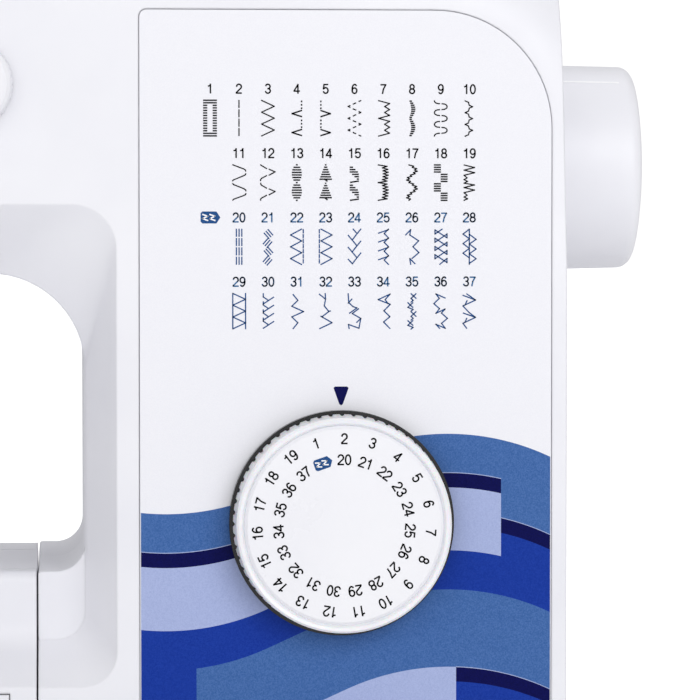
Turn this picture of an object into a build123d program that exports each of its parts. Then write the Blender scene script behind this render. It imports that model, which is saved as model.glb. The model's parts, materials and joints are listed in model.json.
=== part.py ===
from build123d import *
import math
import os

# A free-arm domestic sewing machine.
# Frame: +X points to the handwheel, -Y to the person sewing, +Z up.
# The origin is on the table, under the middle of the machine. Millimetres.

# ------------------------------------------------------------------ driving sizes

LEFT = -200.0            # left end of the head
RIGHT = 177.0            # right side of the pillar
FRONT = -64.0            # front plane of the casing
REAR = 80.0              # rear plane of the casing
SEAM_Y = 20.0            # the front and rear covers meet here
FACE_SEAM_X = -172.0     # the face cover meets the other two here
SEAM = 0.4               # width of a seam between covers
WALL = 2.8               # thickness of the moulded covers

FOOT_HEIGHT = 5.0
BASE_TOP = 8.0           # top of the base plate under the pillar
BED_TOP = 86.0           # sewing surface
ARM_UNDERSIDE = 190.0
HEAD_BOTTOM = 128.0
TOP_LEFT_Z = 293.0       # the top rises slightly towards the handwheel
TOP_RIGHT_Z = 301.0
TOP_RIGHT_X = 174.5
THROAT_RIGHT = 10.3      # right wall of the space under the arm
PILLAR_LEFT = -6.0       # where the pillar's foot meets the flat bed

NEEDLE_X = -152.6
NEEDLE_Y = 8.0
SHAFT_Y = 8.0            # main shaft
SHAFT_Z = 227.7
SHAFT_R = 5.0
LOWER_Z = 54.0           # lower shaft
LOWER_R = 4.0
HOOK_Y = -9.2            # the hook turns about a vertical axis in front of the needle
HOOK_R = 16.2

CAST_FRONT = 28.0        # the inner frame is a plate that stands behind the shafts
CAST_REAR = 38.0

DIAL_X = 98.4            # stitch pattern dial
DIAL_Z = 104.4
DIAL_R = 37.0

ALONG_X = (1, 0, 0)
ALONG_Y = (0, 1, 0)
ALONG_Z = (0, 0, 1)
RUN_GAP = 0.05           # radial clearance of a running fit
FREE_GAP = 0.4           # clearance between pieces that pass each other


# ------------------------------------------------------------------ small helpers

def top_z(x):
    """Height of the casing's sloping top at a given x."""
    return TOP_LEFT_Z + (x - LEFT) * (TOP_RIGHT_Z - TOP_LEFT_Z) / (TOP_RIGHT_X - LEFT)


def block(low, high, mode=Mode.ADD):
    """A box between two opposite corners."""
    size = [b - a for a, b in zip(low, high)]
    centre = Vector(*[(a + b) / 2 for a, b in zip(low, high)])
    with Locations(centre):
        Box(*size, mode=mode)


def rod(start, direction, radius, length, mode=Mode.ADD):
    """A round bar from a start point along a direction."""
    with BuildSketch(Plane(start, z_dir=direction)) as section:
        Circle(radius)
    extrude(section.sketch, amount=length, mode=mode)


def ring(start, direction, outer, inner, length):
    """A round tube from a start point along a direction."""
    with BuildSketch(Plane(start, z_dir=direction)) as section:
        Circle(outer)
        Circle(inner, mode=Mode.SUBTRACT)
    extrude(section.sketch, amount=length)


def turned(origin, axis, x_dir, points):
    """A turned shape: the profile's first number is radius, the second runs along the axis."""
    plane = Plane(origin, x_dir=x_dir, z_dir=Vector(*x_dir).cross(Vector(*axis)))
    with BuildSketch(plane) as profile:
        with BuildLine():
            Polyline(*points, close=True)
        make_face()
    revolve(profile.sketch, axis=Axis(origin, axis))


def front_view(y):
    """A drawing plane facing the front: local x is X, local y is Z."""
    return Plane.XZ.offset(-y)


def rounded_outline(points, radii, y, inset=0.0):
    """A closed outline in front view with its own radius at each corner."""
    with BuildSketch(front_view(y)) as outline:
        with BuildLine():
            FilletPolyline(*points, radius=radii, close=True)
        make_face()
        if inset:
            offset(amount=-inset)
    return outline.sketch


def rectangle_points(x0, x1, z0, z1):
    """Corners of a rectangle: bottom left, bottom right, top right, top left."""
    return [(x0, z0), (x1, z0), (x1, z1), (x0, z1)]


def write(piece, name):
    """Label a finished piece and write its STEP file."""
    piece.part.label = name
    export_step(piece.part, f"parts/{name}.step")


os.makedirs("parts", exist_ok=True)

# ------------------------------------------------------------------ casing form

CASING_CORNERS = [
    ((PILLAR_LEFT, BASE_TOP), 2),
    ((RIGHT, BASE_TOP), 6),
    ((RIGHT, ARM_UNDERSIDE), 200),
    ((TOP_RIGHT_X, TOP_RIGHT_Z), 16),
    ((LEFT, TOP_LEFT_Z), 26),
    ((LEFT, HEAD_BOTTOM), 8),
    ((-112, HEAD_BOTTOM), 10),
    ((-104, ARM_UNDERSIDE), 22),
    ((THROAT_RIGHT, ARM_UNDERSIDE), 33),
    ((THROAT_RIGHT, BED_TOP), 10),
    ((PILLAR_LEFT, BED_TOP), 1),
]

# The flat of the front ends at a rounded rectangle, and outside it the casing rolls back.
FRONT_FLAT = (-186.0, 175.3, -80.0, 284.6)
FRONT_FLAT_R = 44.0
FRONT_ROLL = [(0, 0), (0.8, 4), (3, 10), (7, 17), (14, 25), (26, 33)]
REAR_FLAT = (-186.0, 165.0, -80.0, 284.0)
REAR_FLAT_R = 40.0
REAR_ROLL = [(0, 0), (1.5, 5), (5, 11), (11, 18), (20, 25), (34, 32)]


def rolled_front(flat, radius, roll, start, towards):
    """A long pillow: the flat at the start, growing outwards with depth as the roll says."""
    x0, x1, z0, z1 = flat
    sections = []
    for depth, growth in roll:
        corners = rectangle_points(x0 - growth, x1 + growth, z0 - growth, z1 + growth)
        sections.append(rounded_outline(corners, [radius + growth] * 4, start + towards * depth))
    return loft([s.face() for s in sections])


def scoop(inset):
    """The sloping recess around the space under the arm, grown by an inset."""
    rim_x0, rim_x1, rim_z0, rim_z1 = -118.0, 21.0, 48.0, 214.0
    floor_x0, floor_x1, floor_z0, floor_z1 = -107.0, THROAT_RIGHT, 62.0, ARM_UNDERSIDE
    depth = 22.0
    rim = rectangle_points(rim_x0 - inset, rim_x1 + inset, rim_z0 - inset, rim_z1 + inset)
    floor = rectangle_points(floor_x0 - inset, floor_x1 + inset, floor_z0 - inset, floor_z1 + inset)
    sections = [
        rounded_outline(rim, [12, 12, 15, 15], FRONT),
        rounded_outline(floor, [8, 10, 33, 22], FRONT + depth + inset),
    ]
    return loft([s.face() for s in sections])


def casing(inset):
    """The solid form of the casing, shrunk by an inset on every side."""
    corners = [corner for corner, _ in CASING_CORNERS]
    radii = [radius for _, radius in CASING_CORNERS]
    outline = rounded_outline(corners, radii, REAR - inset, inset)
    front_pillow = rolled_front(FRONT_FLAT, FRONT_FLAT_R, FRONT_ROLL, FRONT + inset, 1)
    rear_pillow = rolled_front(REAR_FLAT, REAR_FLAT_R, REAR_ROLL, REAR - inset, -1)
    hollow = scoop(inset)
    front_end = FRONT + inset + FRONT_ROLL[-1][0]
    rear_end = REAR - inset - REAR_ROLL[-1][0]
    with BuildPart() as form:
        extrude(outline, amount=REAR - FRONT - 2 * inset)
        with BuildPart(mode=Mode.PRIVATE) as envelope:
            add(front_pillow)
            add(rear_pillow)
            block((-400, front_end, -200), (400, rear_end, 400))
        add(envelope.part, mode=Mode.INTERSECT)
        add(hollow, mode=Mode.SUBTRACT)
    return form.part


outer_form = casing(0)
inner_form = casing(WALL)

# ------------------------------------------------------------------ panel and cut-outs

PANEL_X0 = 29.1
PANEL_X1 = 171.4
PANEL_Z0 = 14.0
PANEL_Z1 = 280.8
PANEL_RADII = [3, 3, 40.5, 2.5]
PANEL_THICKNESS = 1.0
PANEL_GAP = 0.3          # the dark line around the panel

LEVER_X = 98.4           # reverse lever, below the dial
LEVER_Z = 30.0
LEVER_SLOT = ((93.4, FRONT - 1, 17.5), (103.4, FRONT + 8, 35.5))

LENGTH_DIAL_X = -30.0    # stitch length and stitch width dials on the arm
WIDTH_DIAL_X = -80.0
SMALL_DIAL_Z = 255.0
SMALL_DIAL_R = 16.0
TENSION_X = -160.0
TENSION_Z = 252.0

TAKE_UP_X = -122.0       # middle of the take-up lever
TAKE_UP_SLOT = ((-126.0, FRONT - 1, 196.0), (-118.0, FRONT + 12, 284.0))

HUB_HOLE_R = 10.5        # where the handwheel's hub enters the casing
WINDER_X = 140.0
WINDER_Y = 4.0
HANDLE_X0 = -112.0       # the carrying handle folds into a tray in the top
HANDLE_X1 = 24.0
HANDLE_TRAY_Y0 = 24.0
HANDLE_TRAY_Y1 = 66.0
HANDLE_TRAY_FLOOR = 282.0
HANDLE_PIVOT_Y = 33.0
HANDLE_PIVOT_Z = 289.0
SPOOL_X = 70.0
SPOOL_Y = 50.0
SPOOL_R = 3.0

SWITCH_Y0 = 32.0         # power switch and sockets on the right side
SWITCH_Y1 = 50.0
INLET_Y0 = 54.0
INLET_Y1 = 70.0
SOCKET_Z0 = 22.0
SOCKET_Z1 = 42.0

SCREW_PLACES = [(-150, 215), (-150, 262), (-20, 215), (60, 262), (150, 262), (150, 60), (40, 60)]
BOSS_R = 6.0

HEAD_OPENING = ((-188.0, -24.0, 120.0), (-117.5, 60.0, 134.0))
LIFTER_SLOT = ((-131.0, 38.5, 118.0), (-98.0, 47.5, 166.0))
ARM_PASSAGE = ((PILLAR_LEFT - 1, -27.0, 42.6), (THROAT_RIGHT + 4, 41.0, 83.0))
BASE_OPENING = ((0.0, -57.0, 7.0), (171.0, 73.0, 12.0))

panel_outline = rectangle_points(PANEL_X0, PANEL_X1, PANEL_Z0, PANEL_Z1)
panel_recess = rounded_outline(panel_outline, PANEL_RADII, FRONT + PANEL_THICKNESS, -PANEL_GAP)

# ------------------------------------------------------------------ covers

with BuildPart() as front_cover:
    add(outer_form)
    add(inner_form, mode=Mode.SUBTRACT)
    block((FACE_SEAM_X + SEAM, FRONT - 10, 0), (RIGHT + 5, SEAM_Y, 320), mode=Mode.INTERSECT)
    extrude(panel_recess, amount=PANEL_THICKNESS + 5, mode=Mode.SUBTRACT)
    rod((DIAL_X, FRONT - 1, DIAL_Z), ALONG_Y, 6, 10, mode=Mode.SUBTRACT)
    for dial_x in (LENGTH_DIAL_X, WIDTH_DIAL_X):
        rod((dial_x, FRONT - 1, SMALL_DIAL_Z), ALONG_Y, 4.5, 10, mode=Mode.SUBTRACT)
    rod((TENSION_X, FRONT - 1, TENSION_Z), ALONG_Y, 4.5, 12, mode=Mode.SUBTRACT)
    block(*LEVER_SLOT, mode=Mode.SUBTRACT)
    block(*TAKE_UP_SLOT, mode=Mode.SUBTRACT)
    rod((RIGHT - 10, SHAFT_Y, SHAFT_Z), ALONG_X, HUB_HOLE_R, 20, mode=Mode.SUBTRACT)
    block((WINDER_X - 4.5, WINDER_Y - 3.5, 285), (WINDER_X + 11, WINDER_Y + 3.5, 310), mode=Mode.SUBTRACT)
    block(*HEAD_OPENING, mode=Mode.SUBTRACT)
    block(*ARM_PASSAGE, mode=Mode.SUBTRACT)
    block(*BASE_OPENING, mode=Mode.SUBTRACT)
write(front_cover, "front_cover")

with BuildPart() as rear_cover:
    add(outer_form)
    add(inner_form, mode=Mode.SUBTRACT)
    for boss_x, boss_z in SCREW_PLACES:
        rod((boss_x, REAR - 18, boss_z), ALONG_Y, BOSS_R, 16)
    tray_wall = 2.5
    block(
        (HANDLE_X0 - tray_wall, HANDLE_TRAY_Y0 - tray_wall, HANDLE_TRAY_FLOOR - tray_wall),
        (HANDLE_X1 + tray_wall, HANDLE_TRAY_Y1 + tray_wall, top_z(HANDLE_X0) - 1),
    )
    block(
        (HANDLE_X0, HANDLE_TRAY_Y0, HANDLE_TRAY_FLOOR),
        (HANDLE_X1, HANDLE_TRAY_Y1, 310),
        mode=Mode.SUBTRACT,
    )
    block((FACE_SEAM_X + SEAM, SEAM_Y + SEAM, 0), (RIGHT + 5, REAR + 10, 320), mode=Mode.INTERSECT)
    for boss_x, boss_z in SCREW_PLACES:
        rod((boss_x, REAR - 20, boss_z), ALONG_Y, 1.7, 30, mode=Mode.SUBTRACT)
        rod((boss_x, REAR - 7, boss_z), ALONG_Y, 4.0, 12, mode=Mode.SUBTRACT)
    rod((SPOOL_X, SPOOL_Y, 285), ALONG_Z, SPOOL_R + 0.4, 30, mode=Mode.SUBTRACT)
    block((RIGHT - 12, SWITCH_Y0 - 2, SOCKET_Z0), (RIGHT + 3, INLET_Y1 + 2, SOCKET_Z1), mode=Mode.SUBTRACT)
    block(*HEAD_OPENING, mode=Mode.SUBTRACT)
    block(*LIFTER_SLOT, mode=Mode.SUBTRACT)
    block(*ARM_PASSAGE, mode=Mode.SUBTRACT)
    block(*BASE_OPENING, mode=Mode.SUBTRACT)
write(rear_cover, "rear_cover")

LAMP_OPENING = ((-194.0, -44.0, 120.0), (-176.0, -10.0, 134.0))

with BuildPart() as face_cover:
    add(outer_form)
    add(inner_form, mode=Mode.SUBTRACT)
    block((LEFT - 5, FRONT - 10, 100), (FACE_SEAM_X, REAR + 10, 320), mode=Mode.INTERSECT)
    block(*LAMP_OPENING, mode=Mode.SUBTRACT)
    block(*HEAD_OPENING, mode=Mode.SUBTRACT)
    rod((LEFT - 5, SHAFT_Y, 262), ALONG_X, 1.7, 20, mode=Mode.SUBTRACT)
write(face_cover, "face_cover")

with BuildPart() as lamp:
    block(
        (LAMP_OPENING[0][0] + 0.3, LAMP_OPENING[0][1] + 0.3, HEAD_BOTTOM + 0.2),
        (LAMP_OPENING[1][0] - 0.3, LAMP_OPENING[1][1] - 0.3, HEAD_BOTTOM + 3.0),
    )
    block((-193, -43, 138), (-177, -11, 139.6))
    for led_y in (-36, -27, -18):
        block((-187, led_y - 2, 135.6), (-183, led_y + 2, 138))
write(lamp, "lamp")

with BuildPart() as pattern_panel:
    panel_face = rounded_outline(panel_outline, PANEL_RADII, FRONT + PANEL_THICKNESS)
    extrude(panel_face, amount=PANEL_THICKNESS)
    rod((DIAL_X, FRONT - 1, DIAL_Z), ALONG_Y, 6, 10, mode=Mode.SUBTRACT)
    block(*LEVER_SLOT, mode=Mode.SUBTRACT)
write(pattern_panel, "pattern_panel")

with BuildPart() as cover_screws:
    for boss_x, boss_z in SCREW_PLACES:
        rod((boss_x, REAR - 7, boss_z), ALONG_Y, 3.6, 2.4)
        rod((boss_x, REAR - 19, boss_z), ALONG_Y, 1.65, 12)
        block(
            (boss_x - 2.4, REAR - 5.6, boss_z - 0.5),
            (boss_x + 2.4, REAR - 4, boss_z + 0.5),
            mode=Mode.SUBTRACT,
        )
        block(
            (boss_x - 0.5, REAR - 5.6, boss_z - 2.4),
            (boss_x + 0.5, REAR - 4, boss_z + 2.4),
            mode=Mode.SUBTRACT,
        )
write(cover_screws, "cover_screws")

# ------------------------------------------------------------------ base

with BuildPart() as base_plate:
    with BuildSketch(Plane.XY.offset(FOOT_HEIGHT)) as pan:
        with Locations(((-196 - 8) / 2, 8)):
            RectangleRounded(188, 134, 12)
        with Locations(((-8 + 175) / 2 - 6, 8)):
            RectangleRounded(195, 136, 6)
    extrude(amount=BASE_TOP - FOOT_HEIGHT)
    with BuildSketch(Plane.XY.offset(BASE_TOP)) as platform:
        with Locations(((-196 - 8) / 2, 8)):
            RectangleRounded(188, 134, 12)
    extrude(amount=9)
    block((-184, -47, BASE_TOP), (-20, 63, 30), mode=Mode.SUBTRACT)
    for rib_x in (-140, -100, -60):
        block((rib_x - 1.5, -50, BASE_TOP), (rib_x + 1.5, 66, 16))
write(base_plate, "base_plate")

FOOT_PLACES = [(-180, -42), (-180, 58), (155, -44), (155, 60), (-12, -44), (-12, 60)]

with BuildPart() as rubber_feet:
    for foot_x, foot_y in FOOT_PLACES:
        with Locations((foot_x, foot_y, 0)):
            Cone(8, 9.5, FOOT_HEIGHT, align=(Align.CENTER, Align.CENTER, Align.MIN))
write(rubber_feet, "rubber_feet")

# ------------------------------------------------------------------ cast inner frame

CAST_SECTIONS = [
    (-176, 90, 44.5, 70),        # along the free arm
    (20, 90, 14, 278),           # up the pillar
    (-172, 150, 200, 276),       # along the upper arm
    (-172, -118, 134, 284),      # down the head
]
BUSH_R = 9.0
LOWER_BUSH_R = 7.0
UPPER_BUSHES = [(-108, -94), (22, 34), (138, 150)]
LOWER_BUSHES = [(-128, -120), (22, 30)]
TAKE_UP_PIVOT = (10.0, 262.0)    # Y and Z
SWING_PIVOT_Z = 277.0
PRESSER_Y = 22.0
PRESSER_R = 3.5
LIFTER_X = -138.0
LIFTER_Z = 155.0
LIFTER_HUB_R = 5.0
MOTOR_Y = 30.0
MOTOR_Z = 62.0
MOTOR_R = 26.0

with BuildPart() as frame_casting:
    for x0, x1, z0, z1 in CAST_SECTIONS:
        block((x0, CAST_FRONT, z0), (x1, CAST_REAR, z1))
    block((-177, -26, 42.9), (34, 40, 44.5))
    block((16, -20, BASE_TOP), (92, 60, 14))
    for x0, x1 in UPPER_BUSHES:
        block((x0, -4, SHAFT_Z - 12), (x1, CAST_FRONT, SHAFT_Z + 12))
    for x0, x1 in LOWER_BUSHES:
        block((x0, -18, 44.5), (x1, -0.5, 63))
    block((-160, -17, 64.2), (-145, CAST_FRONT, 66.2))
    block((-116, 4, 256), (-110, CAST_FRONT, 268))
    block((-158, 20, 270), (-147, CAST_FRONT, 284))
    for z0, z1 in ((136, 146), (236, 246)):
        block((-160, 16.6, z0), (-145, CAST_FRONT, z1))
    block((86, 2, 34), (94, 58, 90))
    block((60, -6, 90), (117, -2, 118))
    block((60, -2, 90), (66, CAST_FRONT, 118))
    for x0, x1 in UPPER_BUSHES:
        rod((x0 - 1, SHAFT_Y, SHAFT_Z), ALONG_X, BUSH_R, x1 - x0 + 2, mode=Mode.SUBTRACT)
    for x0, x1 in LOWER_BUSHES:
        rod((x0 - 1, HOOK_Y, LOWER_Z), ALONG_X, LOWER_BUSH_R, x1 - x0 + 2, mode=Mode.SUBTRACT)
    rod((NEEDLE_X, HOOK_Y, 60), ALONG_Z, 3 + RUN_GAP, 10, mode=Mode.SUBTRACT)
    rod((-117, *TAKE_UP_PIVOT), ALONG_X, 3, 10, mode=Mode.SUBTRACT)
    rod((NEEDLE_X, 10, SWING_PIVOT_Z), ALONG_Y, 3, 30, mode=Mode.SUBTRACT)
    rod((NEEDLE_X, PRESSER_Y, 130), ALONG_Z, PRESSER_R + RUN_GAP, 120, mode=Mode.SUBTRACT)
    rod((LIFTER_X, 20, LIFTER_Z), ALONG_Y, LIFTER_HUB_R + RUN_GAP, 30, mode=Mode.SUBTRACT)
    rod((DIAL_X, -10, DIAL_Z), ALONG_Y, 4 + RUN_GAP, 12, mode=Mode.SUBTRACT)
    for relief_x in (-60, -20, 60, 110):
        rod((relief_x, 20, 252), ALONG_Y, 9, 30, mode=Mode.SUBTRACT)
    for relief_z in (160, 185):
        rod((55, 20, relief_z), ALONG_Y, 9, 30, mode=Mode.SUBTRACT)
write(frame_casting, "frame_casting")

# pins that levers turn on, all fixed in the frame or the covers
with BuildPart() as pivot_pins:
    rod((-126, *TAKE_UP_PIVOT), ALONG_X, 3, 16)
    rod((NEEDLE_X, -4, SWING_PIVOT_Z), ALONG_Y, 3, CAST_REAR + 4)
    for pin_x in (HANDLE_X0, HANDLE_X1 - 14):
        rod((pin_x, HANDLE_PIVOT_Y, HANDLE_PIVOT_Z), ALONG_X, 2.5, 14)
write(pivot_pins, "pivot_pins")

with BuildPart() as shaft_bushes:
    for x0, x1 in UPPER_BUSHES:
        ring((x0, SHAFT_Y, SHAFT_Z), ALONG_X, BUSH_R, SHAFT_R + RUN_GAP, x1 - x0)
    for x0, x1 in LOWER_BUSHES:
        ring((x0, HOOK_Y, LOWER_Z), ALONG_X, LOWER_BUSH_R, LOWER_R + RUN_GAP, x1 - x0)
write(shaft_bushes, "shaft_bushes")

# ------------------------------------------------------------------ main shaft and drive

CRANK_X = -134.0
CRANK_THICKNESS = 6.0
CRANK_R = 19.0
CRANK_THROW = 15.0
CRANK_PIN_END = -138.0
WHEEL_X = 177.7          # the handwheel: inner edge, face, rim and wall
WHEEL_FACE_X = 212.2
WHEEL_R = 37.2
WHEEL_WALL = 2.9
SHAFT_END_X = 206.0
PULLEY_X = 158.0
PULLEY_WIDTH = 9.0
MAIN_PULLEY_R = 29.0
MOTOR_PULLEY_R = 5.8
TIMING_X = 40.0
TIMING_WIDTH = 9.0
UPPER_TIMING_R = 16.0
LOWER_TIMING_R = 8.0

with BuildPart() as main_shaft:
    rod((CRANK_X, SHAFT_Y, SHAFT_Z), ALONG_X, SHAFT_R, SHAFT_END_X - CRANK_X)
write(main_shaft, "main_shaft")

with BuildPart() as crank_disc:
    rod((CRANK_X, SHAFT_Y, SHAFT_Z), ALONG_X, CRANK_R, CRANK_THICKNESS)
    block(
        (CRANK_X - 1, SHAFT_Y - 20, SHAFT_Z + 6),
        (CRANK_X + 7, SHAFT_Y - 8, SHAFT_Z + 20),
        mode=Mode.SUBTRACT,
    )
    block(
        (CRANK_X - 1, SHAFT_Y + 8, SHAFT_Z + 6),
        (CRANK_X + 7, SHAFT_Y + 20, SHAFT_Z + 20),
        mode=Mode.SUBTRACT,
    )
    rod((CRANK_PIN_END, SHAFT_Y, SHAFT_Z + CRANK_THROW), ALONG_X, 2.5, CRANK_X - CRANK_PIN_END)
    rod((CRANK_X - 1, SHAFT_Y, SHAFT_Z), ALONG_X, SHAFT_R, 10, mode=Mode.SUBTRACT)
write(crank_disc, "crank_disc")

with BuildPart() as handwheel:
    wheel_plane = Plane((0, SHAFT_Y, SHAFT_Z), x_dir=ALONG_X, z_dir=(0, -1, 0))
    with BuildSketch(wheel_plane) as wheel_section:
        with BuildLine():
            rim = Line((WHEEL_X, WHEEL_R), (WHEEL_FACE_X - 7.6, WHEEL_R - 0.6))
            shoulder = JernArc(rim @ 1, rim % 1, 4.6, -78)
            dome = Spline(
                shoulder @ 1,
                (WHEEL_FACE_X - 0.7, 15),
                (WHEEL_FACE_X, 0),
                tangents=[shoulder % 1, (0, -1)],
            )
            Polyline(
                dome @ 1, (SHAFT_END_X, 0), (SHAFT_END_X, SHAFT_R), (170, SHAFT_R), (170, 9),
                (WHEEL_FACE_X - 4, 9), (WHEEL_FACE_X - 5, 22), (WHEEL_FACE_X - 6.4, 31),
                (WHEEL_FACE_X - 8.6, WHEEL_R - WHEEL_WALL - 0.6), (WHEEL_X, WHEEL_R - WHEEL_WALL), rim @ 0,
            )
        make_face()
    revolve(wheel_section.sketch, axis=Axis((0, SHAFT_Y, SHAFT_Z), ALONG_X))
write(handwheel, "handwheel")


def grooved_pulley(x, y, z, width, groove_r, bore_r):
    """A belt pulley: two flanges with a groove between them."""
    flange = 2.0
    rod((x, y, z), ALONG_X, groove_r, width)
    for start in (x, x + width - flange):
        rod((start, y, z), ALONG_X, groove_r + 2.2, flange)
    rod((x - 1, y, z), ALONG_X, bore_r, width + 2, mode=Mode.SUBTRACT)


def toothed_pulley(x, y, z, width, radius, teeth, bore_r):
    """A timing pulley with round tooth gaps and a thin flange at each end."""
    plane = Plane((x, y, z), z_dir=ALONG_X)
    with BuildSketch(plane) as section:
        Circle(radius)
        with PolarLocations(radius + 0.2, teeth):
            Circle(0.7, mode=Mode.SUBTRACT)
    extrude(section.sketch, amount=width)
    for start in (x - 1, x + width):
        rod((start, y, z), ALONG_X, radius + 1.6, 1)
    rod((x - 2, y, z), ALONG_X, bore_r, width + 4, mode=Mode.SUBTRACT)


def belt(x, width, first, second, thickness):
    """A closed belt around two pulleys, each given as Y, Z and radius."""
    plane = Plane((x, 0, 0), x_dir=ALONG_Y, z_dir=ALONG_X)
    loops = []
    for extra in (thickness, 0):
        with BuildSketch(plane) as loop:
            for y, z, radius in (first, second):
                with Locations((y, z)):
                    Circle(radius + extra)
            make_hull()
        loops.append(loop.sketch)
    extrude(loops[0], amount=width)
    extrude(loops[1], amount=width, mode=Mode.SUBTRACT)


with BuildPart() as shaft_pulleys:
    grooved_pulley(PULLEY_X, SHAFT_Y, SHAFT_Z, PULLEY_WIDTH, MAIN_PULLEY_R, SHAFT_R)
    with Locations(Plane((PULLEY_X - 1, SHAFT_Y, SHAFT_Z), z_dir=ALONG_X)):
        with PolarLocations(18, 5):
            Cylinder(5.5, 2 * PULLEY_WIDTH + 4, mode=Mode.SUBTRACT)
    toothed_pulley(TIMING_X, SHAFT_Y, SHAFT_Z, TIMING_WIDTH, UPPER_TIMING_R, 32, SHAFT_R)
write(shaft_pulleys, "shaft_pulleys")

with BuildPart() as motor:
    rod((94, MOTOR_Y, MOTOR_Z), ALONG_X, MOTOR_R, 52)
    rod((146, MOTOR_Y, MOTOR_Z), ALONG_X, 9, 5)
    for slot in range(8):
        angle = math.radians(45 * slot + 22.5)
        slot_y = MOTOR_Y + MOTOR_R * math.cos(angle)
        slot_z = MOTOR_Z + MOTOR_R * math.sin(angle)
        rod((104, slot_y, slot_z), ALONG_X, 2.5, 32, mode=Mode.SUBTRACT)
    rod((140, MOTOR_Y, MOTOR_Z), ALONG_X, 3 + RUN_GAP, 20, mode=Mode.SUBTRACT)
write(motor, "motor")

with BuildPart() as motor_pulley:
    grooved_pulley(PULLEY_X, MOTOR_Y, MOTOR_Z, PULLEY_WIDTH, MOTOR_PULLEY_R, 2)
    rod((140.5, MOTOR_Y, MOTOR_Z), ALONG_X, 3, 28)
write(motor_pulley, "motor_pulley")

with BuildPart() as lower_timing_pulley:
    toothed_pulley(TIMING_X, HOOK_Y, LOWER_Z, TIMING_WIDTH, LOWER_TIMING_R, 16, LOWER_R)
write(lower_timing_pulley, "lower_timing_pulley")

with BuildPart() as drive_belts:
    belt(
        PULLEY_X + 2.4,
        PULLEY_WIDTH - 4.8,
        (MOTOR_Y, MOTOR_Z, MOTOR_PULLEY_R + 0.3),
        (SHAFT_Y, SHAFT_Z, MAIN_PULLEY_R + 0.3),
        1.6,
    )
    belt(
        TIMING_X + 0.4,
        TIMING_WIDTH - 0.8,
        (HOOK_Y, LOWER_Z, LOWER_TIMING_R + 0.3),
        (SHAFT_Y, SHAFT_Z, UPPER_TIMING_R + 0.3),
        1.2,
    )
write(drive_belts, "drive_belts")

# ------------------------------------------------------------------ hook drive

MITRE_TEETH = 12
MITRE_R = 8.0
MITRE_FACE = 3.0
HOOK_BOTTOM = 66.6
HOOK_TOP = 79.5


def mitre_gear(apex, axis, x_dir, bore_r, hub_length):
    """A 45 degree gear with thin radial teeth; its cone points along the axis to the apex."""
    origin = Vector(*apex) - Vector(*axis) * MITRE_R
    addendum = 0.6 / math.sqrt(2)
    root = 0.9 / math.sqrt(2)
    turned(
        origin, axis, x_dir,
        [
            (0, -hub_length), (5.5, -hub_length), (5.5, -root - 0.8), (MITRE_R - root, -root),
            (MITRE_R - MITRE_FACE - root, MITRE_FACE - root), (0, MITRE_FACE - root),
        ],
    )
    for tooth in range(MITRE_TEETH):
        side = Vector(*x_dir).rotate(Axis((0, 0, 0), axis), tooth * 360 / MITRE_TEETH)
        plane = Plane(origin, x_dir=side, z_dir=side.cross(Vector(*axis)))
        with BuildSketch(plane) as tooth_side:
            with BuildLine():
                Polyline(
                    (MITRE_R - root - 0.4, -root - 0.4),
                    (MITRE_R + addendum, addendum),
                    (MITRE_R - MITRE_FACE + addendum, MITRE_FACE + addendum),
                    (MITRE_R - MITRE_FACE - root - 0.4, MITRE_FACE - root - 0.4),
                    close=True,
                )
            make_face()
        extrude(tooth_side.sketch, amount=0.45, both=True)
    rod(origin - Vector(*axis) * (hub_length + 1), axis, bore_r, 20, mode=Mode.SUBTRACT)


apex = (NEEDLE_X, HOOK_Y, LOWER_Z)
half_pitch = math.radians(180 / MITRE_TEETH)

with BuildPart() as lower_shaft:
    rod((NEEDLE_X + MITRE_R - 2, HOOK_Y, LOWER_Z), ALONG_X, LOWER_R, 206)
write(lower_shaft, "lower_shaft")

with BuildPart() as lower_bevel_gear:
    mitre_gear(apex, (-1, 0, 0), ALONG_Z, LOWER_R, 6)
write(lower_bevel_gear, "lower_bevel_gear")

with BuildPart() as hook_bevel_gear:
    mitre_gear(apex, (0, 0, -1), (math.cos(half_pitch), math.sin(half_pitch), 0), 3, 1.9)
write(hook_bevel_gear, "hook_bevel_gear")

with BuildPart() as rotary_hook:
    rod((NEEDLE_X, HOOK_Y, 58.5), ALONG_Z, 3, HOOK_BOTTOM - 58.5)
    rod((NEEDLE_X, HOOK_Y, HOOK_BOTTOM), ALONG_Z, HOOK_R, HOOK_TOP - HOOK_BOTTOM)
    rod((NEEDLE_X, HOOK_Y, HOOK_BOTTOM + 1.8), ALONG_Z, HOOK_R - 1.6, 20, mode=Mode.SUBTRACT)
    block(
        (NEEDLE_X + 4, HOOK_Y - 20, HOOK_BOTTOM + 6),
        (NEEDLE_X + 20, HOOK_Y - 4, HOOK_TOP + 1),
        mode=Mode.SUBTRACT,
    )
write(rotary_hook, "rotary_hook")

CASE_BOTTOM = HOOK_BOTTOM + 2.3

with BuildPart() as bobbin_case:
    rod((NEEDLE_X, HOOK_Y, CASE_BOTTOM), ALONG_Z, 14.1, 80.2 - CASE_BOTTOM)
    rod((NEEDLE_X, HOOK_Y, CASE_BOTTOM + 1.2), ALONG_Z, 11.2, 20, mode=Mode.SUBTRACT)
write(bobbin_case, "bobbin_case")

with BuildPart() as bobbin:
    bobbin_z = CASE_BOTTOM + 1.6
    for flange_z in (bobbin_z, bobbin_z + 8.4):
        rod((NEEDLE_X, HOOK_Y, flange_z), ALONG_Z, 10.8, 1.0)
    rod((NEEDLE_X, HOOK_Y, bobbin_z + 1.0), ALONG_Z, 9.0, 7.4)
    rod((NEEDLE_X, HOOK_Y, bobbin_z - 1), ALONG_Z, 3.05, 15, mode=Mode.SUBTRACT)
write(bobbin, "bobbin")

# ------------------------------------------------------------------ feed

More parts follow.
